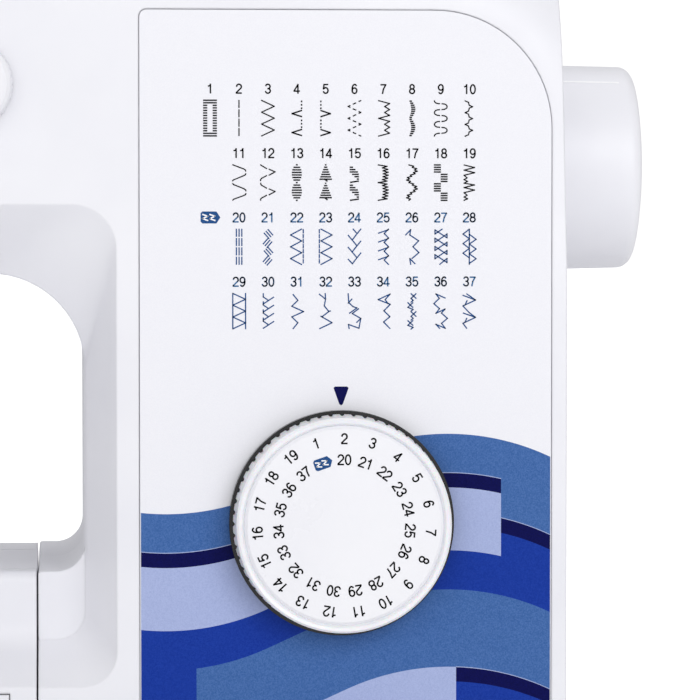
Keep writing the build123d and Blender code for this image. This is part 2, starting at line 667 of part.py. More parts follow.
with BuildPart() as feed_bar:
    block((-160, 14, 74), (-145.2, 26, 80.1))
    block((-157, 16.5, 72), (-148.2, 24, 74))
write(feed_bar, "feed_bar")

FEED_ROWS = [(-161.5, -158.5, 5.4), (-154.1, -151.1, 13.4), (-146.7, -143.7, 5.4)]
FEED_TRAVEL = 2.2

with BuildPart() as feed_dog:
    block((-161.5, 13.0, 80.4), (-143.7, 26, 83.2))
    for x0, x1, y0 in FEED_ROWS:
        block((x0, y0, 83.2), (x1, 26, 86.2))
        for tooth in range(9):
            tooth_y = 25.2 - 1.5 * tooth
            if tooth_y > y0 + 0.6:
                with BuildSketch(Plane((x0, tooth_y, 86.2), x_dir=ALONG_Y, z_dir=ALONG_X)) as crest:
                    with BuildLine():
                        Polyline((-0.7, 0), (0.7, 0), (-0.2, 0.7), close=True)
                    make_face()
                extrude(crest.sketch, amount=x1 - x0)
write(feed_dog, "feed_dog")

# ------------------------------------------------------------------ free arm, needle plate

with BuildPart() as free_arm_cover:
    with BuildSketch(Plane.XY.offset(40)) as arm_plan:
        with Locations(((-188 + 20) / 2, 7)):
            RectangleRounded(208, 74, 14)
    extrude(amount=BED_TOP - 40)
    fillet(free_arm_cover.faces().sort_by(Axis.Z)[0].edges(), 4)
    with BuildSketch(Plane.XY.offset(42.6)) as hollow_plan:
        with Locations(((-185.4 + 20) / 2, 7)):
            RectangleRounded(205.4, 68.8, 11.4)
    extrude(amount=BED_TOP - 45.2, mode=Mode.SUBTRACT)
    block((PILLAR_LEFT - 0.3, -40, 30), (30, 60, 100), mode=Mode.SUBTRACT)
    with BuildSketch(Plane.XY.offset(80)) as plate_opening:
        with Locations((-150, 6)):
            RectangleRounded(62.6, 70.6, 3.3)
    extrude(amount=10, mode=Mode.SUBTRACT)
    block((-170.8, -31, 84.2), (-134.4, -20, 90), mode=Mode.SUBTRACT)
write(free_arm_cover, "free_arm_cover")

COVER_X0 = -170.4
COVER_X1 = -134.8
COVER_REAR = 1.7

with BuildPart() as needle_plate:
    with BuildSketch(Plane.XY.offset(84.4)) as plate_plan:
        with Locations((-150, 6)):
            RectangleRounded(62, 70, 3)
    extrude(amount=1.6)
    block((COVER_X0 - 0.3, -40, 84), (COVER_X1 + 0.3, COVER_REAR + 0.3, 87), mode=Mode.SUBTRACT)
    for x0, x1, y0 in FEED_ROWS:
        block(
            (x0 - 0.7, y0 - FEED_TRAVEL - FREE_GAP, 84),
            (x1 + 0.7, 26 + FEED_TRAVEL + FREE_GAP, 87),
            mode=Mode.SUBTRACT,
        )
    block((NEEDLE_X - 4.5, NEEDLE_Y - 1.2, 84), (NEEDLE_X + 4.5, NEEDLE_Y + 1.2, 87), mode=Mode.SUBTRACT)
    for line_x in (-141, -138, -135, -132, -129):
        block((line_x - 0.15, 6, 85.7), (line_x + 0.15, 28, 87), mode=Mode.SUBTRACT)
write(needle_plate, "needle_plate")

with BuildPart() as bobbin_cover:
    block((COVER_X0, -29.9, 84.6), (COVER_X1, COVER_REAR, 86))
    with BuildSketch(Plane.XY.offset(85.5)) as thumb:
        with Locations((NEEDLE_X, -23)):
            SlotOverall(14, 5)
    extrude(amount=1, mode=Mode.SUBTRACT)
write(bobbin_cover, "bobbin_cover")

# ------------------------------------------------------------------ flat bed with tray

BOX_X0 = -212.2
BOX_X1 = PILLAR_LEFT - 0.6
BOX_BOTTOM = 20.0
LID_X0 = -203.0
LID_X1 = -16.0
LID_Z0 = 24.3
LID_Z1 = 45.6
LID_HINGE_Y = FRONT + 1.3
LID_HINGE_Z = 25.6

with BuildPart() as flatbed_box:
    with BuildSketch(Plane((BOX_X0, 0, 0), x_dir=ALONG_Y, z_dir=ALONG_X)) as bed_section:
        with BuildLine():
            FilletPolyline(
                (FRONT, BOX_BOTTOM), (REAR, BOX_BOTTOM), (REAR, BED_TOP), (FRONT + 22, BED_TOP),
                (FRONT + 22, 62), (FRONT, 48),
                radius=[2, 4, 7, 4, 12, 2],
                close=True,
            )
        make_face()
    extrude(amount=BOX_X1 - BOX_X0)
    with BuildPart(mode=Mode.PRIVATE) as bed_plan:
        with BuildSketch(Plane.XY.offset(10)):
            with Locations(((BOX_X0 + 20) / 2, 8)):
                RectangleRounded(20 - BOX_X0, REAR - FRONT, 16)
        extrude(amount=90)
    add(bed_plan.part, mode=Mode.INTERSECT)
    with BuildSketch(Plane.XY.offset(39)):
        with Locations(((-189 + 30) / 2, 7)):
            RectangleRounded(219, 76, 15)
    extrude(amount=60, mode=Mode.SUBTRACT)
    block((LID_X0 - 0.3, FRONT - 1, 24), (LID_X1 + 0.3, -34, 46), mode=Mode.SUBTRACT)
    block((LID_X0 - 0.3, -39.4, 45), (LID_X1 + 0.3, -34, 82), mode=Mode.SUBTRACT)
    block((-186, 48, BOX_BOTTOM - 1), (-12, 77, 82), mode=Mode.SUBTRACT)
    block((BOX_X0 + 3, -28, BOX_BOTTOM - 1), (-192, 45, 83), mode=Mode.SUBTRACT)
    block((-186, -31, BOX_BOTTOM - 1), (-12, 45, 36.4), mode=Mode.SUBTRACT)
    for rib_x in (-140, -95, -50):
        block((rib_x - 1, 45, 21), (rib_x + 1, 78, 84))
    block((-172.5, -50, 84.1), (-132.7, -25, 90), mode=Mode.SUBTRACT)
write(flatbed_box, "flatbed_box")

with BuildPart() as flatbed_lid:
    block((LID_X0, FRONT, LID_Z0 + 1.3), (LID_X1, FRONT + 2.6, LID_Z1))
    rod((LID_X0, LID_HINGE_Y, LID_HINGE_Z), ALONG_X, 1.3, LID_X1 - LID_X0)
    with BuildSketch(front_view(FRONT + 1)) as finger_grip:
        with Locations((-105, 42)):
            SlotOverall(30, 4)
    extrude(finger_grip.sketch, amount=3, mode=Mode.SUBTRACT)
write(flatbed_lid, "flatbed_lid")

# ------------------------------------------------------------------ needle bar

BAR_R = 3.2
BAR_BOTTOM = 140.0
BAR_TOP = 264.0
BOSS_HEIGHTS = ((150, 162), (236, 248))
LINK_LENGTH = 32.0
DRIVE_Z = SHAFT_Z + CRANK_THROW - LINK_LENGTH
CRANK_PIN_Z = SHAFT_Z + CRANK_THROW

with BuildPart() as needle_bar_frame:
    block((-168, 2, 150), (-164, 14, 282))
    block((-168, 2, 270), (-147, 14, 282))
    for z0, z1 in BOSS_HEIGHTS:
        block((-166, 2.5, z0), (NEEDLE_X, 13.5, z1))
        rod((NEEDLE_X, NEEDLE_Y, z0), ALONG_Z, 6.8, z1 - z0)
        rod((NEEDLE_X, NEEDLE_Y, z0 - 1), ALONG_Z, BAR_R + RUN_GAP, z1 - z0 + 2, mode=Mode.SUBTRACT)
    rod((NEEDLE_X, 0, SWING_PIVOT_Z), ALONG_Y, 3 + RUN_GAP, 20, mode=Mode.SUBTRACT)
write(needle_bar_frame, "needle_bar_frame")

with BuildPart() as needle_bar:
    rod((NEEDLE_X, NEEDLE_Y, BAR_BOTTOM), ALONG_Z, BAR_R, BAR_TOP - BAR_BOTTOM)
write(needle_bar, "needle_bar")

with BuildPart() as needle_bar_clamp:
    block((-157.5, 3, DRIVE_Z - 5), (-147.5, 13, DRIVE_Z + 5))
    rod((-148, NEEDLE_Y, DRIVE_Z), ALONG_X, 2.5, 8.6)
    rod((NEEDLE_X, NEEDLE_Y, DRIVE_Z - 6), ALONG_Z, BAR_R, 12, mode=Mode.SUBTRACT)
write(needle_bar_clamp, "needle_bar_clamp")

with BuildPart() as connecting_link:
    with BuildSketch(Plane((-143.6, NEEDLE_Y, 0), x_dir=ALONG_Y, z_dir=ALONG_X)) as link_side:
        for end_z in (DRIVE_Z, CRANK_PIN_Z):
            with Locations((0, end_z)):
                Circle(4.6)
        make_hull()
        for end_z in (DRIVE_Z, CRANK_PIN_Z):
            with Locations((0, end_z)):
                Circle(2.5 + RUN_GAP, mode=Mode.SUBTRACT)
        with Locations((0, (DRIVE_Z + CRANK_PIN_Z) / 2)):
            SlotOverall(16, 3.4, rotation=90, mode=Mode.SUBTRACT)
    extrude(amount=4)
write(connecting_link, "connecting_link")

CLAMP_BOTTOM = 131.0
NEEDLE_TIP = 101.0

with BuildPart() as needle_clamp:
    rod((NEEDLE_X, NEEDLE_Y, CLAMP_BOTTOM), ALONG_Z, 4.5, 15)
    rod((NEEDLE_X, NEEDLE_Y, BAR_BOTTOM), ALONG_Z, BAR_R, 10, mode=Mode.SUBTRACT)
    rod((NEEDLE_X, NEEDLE_Y, CLAMP_BOTTOM - 1), ALONG_Z, 1.0, 15, mode=Mode.SUBTRACT)
    rod((NEEDLE_X, NEEDLE_Y, CLAMP_BOTTOM + 4.5), ALONG_X, 1.4, 8, mode=Mode.SUBTRACT)
    rod((NEEDLE_X + 1.0, NEEDLE_Y, CLAMP_BOTTOM + 4.5), ALONG_X, 1.4, 6.2)
    rod((NEEDLE_X + 7.2, NEEDLE_Y, CLAMP_BOTTOM + 4.5), ALONG_X, 3.4, 5.5)
    rod((NEEDLE_X, NEEDLE_Y, CLAMP_BOTTOM - 1), ALONG_Z, 1.0, 9.9, mode=Mode.SUBTRACT)
write(needle_clamp, "needle_clamp")

with BuildPart() as needle:
    turned(
        (NEEDLE_X, NEEDLE_Y, 0), ALONG_Z, ALONG_X,
        [
            (0, NEEDLE_TIP), (0.45, NEEDLE_TIP + 4), (0.45, 121), (1.0, 122.5),
            (1.0, BAR_BOTTOM - 1), (0, BAR_BOTTOM - 1),
        ],
    )
write(needle, "needle")

with BuildPart() as take_up_lever:
    pivot_y, pivot_z = TAKE_UP_PIVOT
    lever_plane = Plane((TAKE_UP_X - 1.5, 0, 0), x_dir=ALONG_Y, z_dir=ALONG_X)
    with BuildSketch(lever_plane) as lever_side:
        with Locations((pivot_y, pivot_z)):
            Circle(7)
        with BuildLine():
            Polyline(
                (pivot_y, pivot_z + 6.8), (-40, 280), (-62, 279), (-71.5, 274.5),
                (-71.5, 268.5), (-60, 271.5), (-40, 270), (pivot_y, pivot_z - 6.8),
                close=True,
            )
        make_face()
        with Locations((pivot_y, pivot_z)):
            Circle(3 + RUN_GAP, mode=Mode.SUBTRACT)
        with Locations((-67.5, 272.5)):
            Circle(1.3, mode=Mode.SUBTRACT)
    extrude(amount=3)
write(take_up_lever, "take_up_lever")

# ------------------------------------------------------------------ presser foot

PRESSER_LIFT = 6.0
CAM_ECCENTRIC = 4.93
CAM_R = 4.5
CAM_REST_ANGLE = 37.5
COLLAR_BOTTOM = 162.9
SPRING_BOTTOM = 173.4
SPRING_TOP = 235.8
FOOT_UNDERSIDE = BED_TOP + 1.1 + PRESSER_LIFT
ANKLE_Y = 17.0
ANKLE_Z = FOOT_UNDERSIDE + 5.6
HEEL_START = ANKLE_Y + 1   # the sole rises from here to the heel, so the foot can tilt
HEEL_END = 27.0
FOOT_TILT = 8.0            # degrees

with BuildPart() as presser_bar:
    rod((NEEDLE_X, PRESSER_Y, 112), ALONG_Z, PRESSER_R, 139)
    block((-157.5, 17.2, COLLAR_BOTTOM), (-130, 26.6, SPRING_BOTTOM - 0.4))
write(presser_bar, "presser_bar")

with BuildPart() as presser_spring:
    turns = 13
    coil_pitch = (SPRING_TOP - SPRING_BOTTOM - 1.2) / turns
    with BuildLine():
        coil = Helix(
            pitch=coil_pitch,
            height=coil_pitch * turns,
            radius=4.5,
            center=(NEEDLE_X, PRESSER_Y, SPRING_BOTTOM + 0.6),
        )
    with BuildSketch(Plane(coil @ 0, z_dir=coil % 0)):
        Circle(0.55)
    sweep(path=coil)
write(presser_spring, "presser_spring")

with BuildPart() as foot_holder:
    block((-157.1, 17.2, 106), (-148.1, 27, 124))
    block((-155.2, ANKLE_Y - 2.2, ANKLE_Z + 1.6), (-150, 27, 107))
    block((-155.2, ANKLE_Y - 2.2, ANKLE_Z - 2.0), (-150, ANKLE_Y + 2.2, ANKLE_Z + 2))
    rod((NEEDLE_X, PRESSER_Y, 112), ALONG_Z, PRESSER_R, 20, mode=Mode.SUBTRACT)
    rod((-160, ANKLE_Y, ANKLE_Z), ALONG_X, 1.2 + RUN_GAP, 20, mode=Mode.SUBTRACT)
    rod((-149, PRESSER_Y, 118), ALONG_X, 1.5, 6)
    rod((-145, PRESSER_Y, 118), ALONG_X, 4, 5)
    rod((NEEDLE_X, PRESSER_Y, 112), ALONG_Z, PRESSER_R, 20, mode=Mode.SUBTRACT)
write(foot_holder, "foot_holder")

with BuildPart() as presser_foot:
    with BuildSketch(Plane.XY.offset(FOOT_UNDERSIDE)):
        with Locations((NEEDLE_X, 9)):
            RectangleRounded(20, 34, 3)
    extrude(amount=1.8)
    with BuildSketch(Plane.YZ.offset(NEEDLE_X - 11)):
        heel_rise = (HEEL_END - HEEL_START) * math.tan(math.radians(FOOT_TILT + 1))
        with BuildLine():
            Polyline(
                (HEEL_START, FOOT_UNDERSIDE), (HEEL_END, FOOT_UNDERSIDE),
                (HEEL_END, FOOT_UNDERSIDE + heel_rise), close=True,
            )
        make_face()
    extrude(amount=22, mode=Mode.SUBTRACT)
    block((NEEDLE_X - 5.5, 5, 90), (NEEDLE_X + 5.5, 11, 99), mode=Mode.SUBTRACT)
    block((NEEDLE_X - 1.2, -10, 90), (NEEDLE_X + 1.2, 8, 99), mode=Mode.SUBTRACT)
    for ear_x in (NEEDLE_X - 5.6, NEEDLE_X + 3.2):
        block(
            (ear_x, ANKLE_Y - 2.6, FOOT_UNDERSIDE + 1.8),
            (ear_x + 2.4, ANKLE_Y + 2.6, ANKLE_Z + 2.2),
        )
    rod((NEEDLE_X - 5.6, ANKLE_Y, ANKLE_Z), ALONG_X, 1.2, 11.2)
write(presser_foot, "presser_foot")

LIFTER_HANDLE_Y0 = 40.0
LIFTER_LENGTH = 48.0
LIFTER_REST_ANGLE = -15.0

with BuildPart() as presser_lifter:
    rod((LIFTER_X, 27, LIFTER_Z), ALONG_Y, LIFTER_HUB_R, 19)
    cam_angle = math.radians(CAM_REST_ANGLE)
    cam_x = LIFTER_X + CAM_ECCENTRIC * math.cos(cam_angle)
    cam_z = LIFTER_Z + CAM_ECCENTRIC * math.sin(cam_angle)
    rod((cam_x, 20.5, cam_z), ALONG_Y, CAM_R, 7)
    with BuildSketch(front_view(LIFTER_HANDLE_Y0 + 4)) as handle_face:
        handle_angle = math.radians(LIFTER_REST_ANGLE)
        tip_x = LIFTER_X + LIFTER_LENGTH * math.cos(handle_angle)
        tip_z = LIFTER_Z + LIFTER_LENGTH * math.sin(handle_angle)
        with Locations((LIFTER_X, LIFTER_Z)):
            Circle(6)
        with Locations((tip_x, tip_z)):
            Circle(3.4)
        make_hull()
    extrude(handle_face.sketch, amount=4)
    grip_x = LIFTER_X + (LIFTER_LENGTH - 7) * math.cos(handle_angle)
    grip_z = LIFTER_Z + (LIFTER_LENGTH - 7) * math.sin(handle_angle)
    with BuildSketch(front_view(LIFTER_HANDLE_Y0 + 6.4)) as grip_face:
        for x, z in ((grip_x, grip_z), (tip_x, tip_z)):
            with Locations((x, z)):
                Circle(4.2)
        make_hull()
    extrude(grip_face.sketch, amount=6.8)
write(presser_lifter, "presser_lifter")

# ------------------------------------------------------------------ controls

DIAL_FRONT = -80.0
SKIRT_R = 38.8

with BuildPart() as dial_skirt:
    ring((DIAL_X, FRONT - 4.2, DIAL_Z), ALONG_Y, SKIRT_R, 30, 3.9)
write(dial_skirt, "dial_skirt")

with BuildPart() as pattern_dial:
    turned(
        (DIAL_X, 0, DIAL_Z), ALONG_Y, ALONG_X,
        [
            (0, DIAL_FRONT + 0.6), (33.2, DIAL_FRONT + 0.6), (34.2, DIAL_FRONT + 1.6),
            (34.2, FRONT - 4.2), (30, FRONT - 4.2), (30, FRONT - 0.3), (5.5, FRONT - 0.3), (5.5, FRONT + 3),
            (0, FRONT + 3),
        ],
    )
    rod((DIAL_X, FRONT - 12, DIAL_Z), ALONG_Y, 4, 20, mode=Mode.SUBTRACT)
write(pattern_dial, "pattern_dial")

with BuildPart() as dial_grip_ring:
    turned(
        (DIAL_X, 0, DIAL_Z), ALONG_Y, ALONG_X,
        [
            (34.2, DIAL_FRONT + 1.6), (35.0, DIAL_FRONT + 0.3), (36.2, DIAL_FRONT),
            (36.9, DIAL_FRONT + 0.8), (37.6, FRONT - 4.2), (34.2, FRONT - 4.2),
        ],
    )
    with Locations(Plane((DIAL_X, DIAL_FRONT + 7.5, DIAL_Z), z_dir=ALONG_Y)):
        with PolarLocations(37.9, 60):
            Cylinder(0.9, 12, mode=Mode.SUBTRACT)
write(dial_grip_ring, "dial_grip_ring")

with BuildPart() as pattern_cams:
    rod((DIAL_X, FRONT - 12, DIAL_Z), ALONG_Y, 4, 74)
    rod((DIAL_X, -52, DIAL_Z), ALONG_Y, 8, 40)
    for cam in range(5):
        cam_y = -50.0 + 7.6 * cam
        with BuildSketch(front_view(cam_y + 4.6)) as lobes:
            with Locations((DIAL_X, DIAL_Z)):
                Circle(15)
            for lobe in range(3 + cam):
                angle = math.radians(360 / (3 + cam) * lobe + 17 * cam)
                with Locations((DIAL_X + 11 * math.cos(angle), DIAL_Z + 11 * math.sin(angle))):
                    Circle(7.5)
        extrude(lobes.sketch, amount=4.6)
write(pattern_cams, "pattern_cams")


def small_dial(x, z, radius, height):
    """A knob on the front with a fluted rim, a pointer rib and its spindle."""
    start = FRONT - height - 0.5
    turned(
        (x, 0, z), ALONG_Y, ALONG_X,
        [
            (0, start), (radius - 2, start), (radius - 0.8, start + 1.2), (radius, start + height),
            (4, start + height), (4, FRONT + 22), (0, FRONT + 22),
        ],
    )
    with Locations(Plane((x, start + height / 2, z), z_dir=ALONG_Y)):
        with PolarLocations(radius + 0.4, 36):
            Cylinder(0.7, height + 3, mode=Mode.SUBTRACT)


with BuildPart() as stitch_length_dial:
    small_dial(LENGTH_DIAL_X, SMALL_DIAL_Z, SMALL_DIAL_R, 9)
write(stitch_length_dial, "stitch_length_dial")

with BuildPart() as stitch_width_dial:
    small_dial(WIDTH_DIAL_X, SMALL_DIAL_Z, SMALL_DIAL_R, 9)
write(stitch_width_dial, "stitch_width_dial")

with BuildPart() as tension_dial:
    small_dial(TENSION_X, TENSION_Z, 13, 8)
write(tension_dial, "tension_dial")

with BuildPart() as tension_discs:
    for disc_y in (FRONT + 9, FRONT + 10.4, FRONT + 11.8):
        ring((TENSION_X, disc_y, TENSION_Z), ALONG_Y, 9, 4.4, 1.0)
    ring((TENSION_X, FRONT + 6, TENSION_Z), ALONG_Y, 6, 4.4, 3)
write(tension_discs, "tension_discs")

LEVER_PIVOT_Y = -42.0

with BuildPart() as reverse_lever:
    block((94.6, FRONT - 3, LEVER_Z - 2.2), (102.2, LEVER_PIVOT_Y, LEVER_Z + 2.2))
    rod((94.6, LEVER_PIVOT_Y, LEVER_Z), ALONG_X, 5, 7.6)
    with BuildSketch(Plane.XY.offset(LEVER_Z - 4)):
        with Locations((LEVER_X, FRONT - 7)):
            RectangleRounded(26, 9, 3)
    extrude(amount=8)
    rod((90, LEVER_PIVOT_Y, LEVER_Z), ALONG_X, 2 + RUN_GAP, 20, mode=Mode.SUBTRACT)
write(reverse_lever, "reverse_lever")

# ------------------------------------------------------------------ top of the machine

WINDER_TOP = 301.0

with BuildPart() as winder_slide:
    ring((WINDER_X, WINDER_Y, 286), ALONG_Z, 8, 3 + RUN_GAP, 5)
    ring((WINDER_X, WINDER_Y, 291), ALONG_Z, 3.3, 3 + RUN_GAP, WINDER_TOP - 0.4 - 291)
write(winder_slide, "winder_slide")

with BuildPart() as winder_spindle:
    rod((WINDER_X, WINDER_Y, WINDER_TOP), ALONG_Z, 9, 1.6)
    rod((WINDER_X, WINDER_Y, WINDER_TOP + 1.6), ALONG_Z, 3, 13)
    rod((WINDER_X, WINDER_Y, 281), ALONG_Z, 3, WINDER_TOP - 281)
    fillet(winder_spindle.faces().sort_by(Axis.Z)[-1].edges(), 0.8)
write(winder_spindle, "winder_spindle")

HANDLE_THICKNESS = 8.0

with BuildPart() as carry_handle:
    grip_y = HANDLE_TRAY_Y1 - 8
    for arm_x in (HANDLE_X0 + 3, HANDLE_X1 - 13):
        block(
            (arm_x, HANDLE_PIVOT_Y, HANDLE_PIVOT_Z - HANDLE_THICKNESS / 2),
            (arm_x + 10, grip_y, HANDLE_PIVOT_Z + HANDLE_THICKNESS / 2),
        )
        rod((arm_x, HANDLE_PIVOT_Y, HANDLE_PIVOT_Z), ALONG_X, HANDLE_THICKNESS / 2, 10)
    with BuildSketch(Plane((HANDLE_X0 + 3, grip_y, HANDLE_PIVOT_Z), z_dir=ALONG_X)):
        SlotOverall(15, HANDLE_THICKNESS, rotation=90)
    extrude(amount=HANDLE_X1 - HANDLE_X0 - 6)
    for pin_x in (HANDLE_X0, HANDLE_X1 - 14):
        rod((pin_x, HANDLE_PIVOT_Y, HANDLE_PIVOT_Z), ALONG_X, 2.5 + RUN_GAP, 14, mode=Mode.SUBTRACT)
write(carry_handle, "carry_handle")

with BuildPart() as spool_pin:
    rod((SPOOL_X, SPOOL_Y, 244), ALONG_Z, SPOOL_R, 62)
    rod((SPOOL_X, SPOOL_Y, 242), ALONG_Z, 6, 3)
    fillet(spool_pin.faces().sort_by(Axis.Z)[-1].edges(), 1.2)
write(spool_pin, "spool_pin")

# ------------------------------------------------------------------ electrics

ROCKER_Y = (SWITCH_Y0 + SWITCH_Y1) / 2
SOCKET_Z = (SOCKET_Z0 + SOCKET_Z1) / 2
ROCKER_PIN_X = RIGHT - 4.5
ROCKER_PIN_R = 1.5

with BuildPart() as power_switch:
    with BuildSketch(Plane((0, ROCKER_Y, SOCKET_Z), x_dir=ALONG_X, z_dir=(0, -1, 0))) as rocker_end:
        with BuildLine():
            Polyline(
                (RIGHT - 7, -3), (RIGHT - 7, 3), (RIGHT + 0.6, 5.4), (RIGHT - 0.6, 0),
                (RIGHT + 0.6, -5.4), close=True,
            )
        make_face()
    extrude(rocker_end.sketch, amount=6, both=True)
    rod((ROCKER_PIN_X, ROCKER_Y - 7.4, SOCKET_Z), ALONG_Y, ROCKER_PIN_R, 14.8)
write(power_switch, "power_switch")

with BuildPart() as power_inlet:
    block((RIGHT - 11.5, SWITCH_Y0 - 1.7, SOCKET_Z0 + 0.3), (RIGHT, INLET_Y1 + 1.7, SOCKET_Z1 - 0.3))
    block(
        (RIGHT - 9.5, ROCKER_Y - 6.6, SOCKET_Z - 7.2),
        (RIGHT + 1, ROCKER_Y + 6.6, SOCKET_Z + 7.2),
        mode=Mode.SUBTRACT,
    )
    rod((ROCKER_PIN_X, ROCKER_Y - 7.6, SOCKET_Z), ALONG_Y, ROCKER_PIN_R + RUN_GAP, 15.2, mode=Mode.SUBTRACT)
    block((RIGHT - 9, INLET_Y0 + 1, SOCKET_Z - 7), (RIGHT + 1, INLET_Y0 + 9, SOCKET_Z + 7), mode=Mode.SUBTRACT)
    for prong_z in (SOCKET_Z - 4, SOCKET_Z + 4):
        rod((RIGHT - 10, INLET_Y0 + 5, prong_z), ALONG_X, 1.2, 8)
    rod((RIGHT - 11, INLET_Y1 - 3, SOCKET_Z), ALONG_X, 1.8, 15, mode=Mode.SUBTRACT)
write(power_inlet, "power_inlet")

with BuildPart() as circuit_board:
    block((100, -50, 14), (165, -22, 15.6))
    for part_x, part_y, size, height in ((112, -42, 9, 12), (128, -40, 12, 8), (150, -36, 14, 14)):
        block(
            (part_x - size / 2, part_y - size / 2, 15.6),
            (part_x + size / 2, part_y + size / 2, 15.6 + height),
        )
    for post_x in (102, 163):
        rod((post_x, -24, BASE_TOP), ALONG_Z, 2, 6)
        rod((post_x, -48, BASE_TOP), ALONG_Z, 2, 6)
write(circuit_board, "circuit_board")
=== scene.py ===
import json
import math

import bmesh
import bpy
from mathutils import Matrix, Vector


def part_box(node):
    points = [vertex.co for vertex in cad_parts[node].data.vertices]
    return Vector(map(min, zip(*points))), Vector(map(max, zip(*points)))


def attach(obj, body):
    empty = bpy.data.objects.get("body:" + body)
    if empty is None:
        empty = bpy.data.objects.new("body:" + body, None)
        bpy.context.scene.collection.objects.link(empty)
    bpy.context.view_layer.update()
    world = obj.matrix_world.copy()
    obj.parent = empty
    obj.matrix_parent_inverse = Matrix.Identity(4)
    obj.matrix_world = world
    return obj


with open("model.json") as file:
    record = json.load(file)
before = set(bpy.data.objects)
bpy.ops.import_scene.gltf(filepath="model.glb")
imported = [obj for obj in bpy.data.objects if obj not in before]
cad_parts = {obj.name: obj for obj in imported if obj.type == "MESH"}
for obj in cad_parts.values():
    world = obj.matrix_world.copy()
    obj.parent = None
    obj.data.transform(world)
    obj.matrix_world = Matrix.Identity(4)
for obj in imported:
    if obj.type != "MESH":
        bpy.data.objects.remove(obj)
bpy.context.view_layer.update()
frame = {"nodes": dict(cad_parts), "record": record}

# The looks of a free-arm sewing machine: finishes for every CAD piece, the printed panel,
# the numbers on the dial, and the studio. Lengths are in millimetres, and MM makes them metres.

MM = 0.001
INK = 0.05                # thickness of a printed layer
LIFT = 0.02               # the first printed layer stands this far off its surface

# ------------------------------------------------------------------ places from the frame


def corners(node):
    """Lowest and highest corner of a CAD node, in millimetres."""
    low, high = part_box(node)
    return low / MM, high / MM


panel_low, panel_high = corners("pattern_panel")
dial_low, dial_high = corners("pattern_dial")
dial_centre = (dial_low + dial_high) / 2
FRONT = panel_low.y
DIAL_FACE = dial_low.y

# ------------------------------------------------------------------ camera

CAMERA_BACK = 1296.0      # the camera stands this far in front of the casing
CAMERA_HEIGHT = 212.0
VIEW_WIDTH = 241.5        # what the frame takes in at the casing's front
VIEW_RIGHT = 1.25         # the middle of the view, from the middle of the panel
VIEW_UP = 16.5
SENSOR = 36.0


def make_camera():
    """A long lens opposite the machine's middle, turned to the panel."""
    middle = (panel_low + panel_high) / 2
    target = Vector((middle.x + VIEW_RIGHT, FRONT, middle.z + VIEW_UP))
    place = Vector((0, FRONT - CAMERA_BACK, CAMERA_HEIGHT))
    data = bpy.data.cameras.new("camera")
    data.sensor_width = SENSOR
    data.lens = SENSOR * (target - place).length / VIEW_WIDTH
    data.clip_start = 0.05
    data.clip_end = 60.0
    camera = bpy.data.objects.new("camera", data)
    camera.location = place * MM
    camera.rotation_euler = (target - place).to_track_quat("-Z", "Y").to_euler()
    bpy.context.collection.objects.link(camera)
    bpy.context.scene.camera = camera


make_camera()

# ------------------------------------------------------------------ finishes


def rgb(red, green, blue):
    """A linear colour from display values of 0 to 255."""
    linear = []
    for value in (red, green, blue):
        share = value / 255
        linear.append(share / 12.92 if share <= 0.04045 else ((share + 0.055) / 1.055) ** 2.4)
    return (*linear, 1.0)


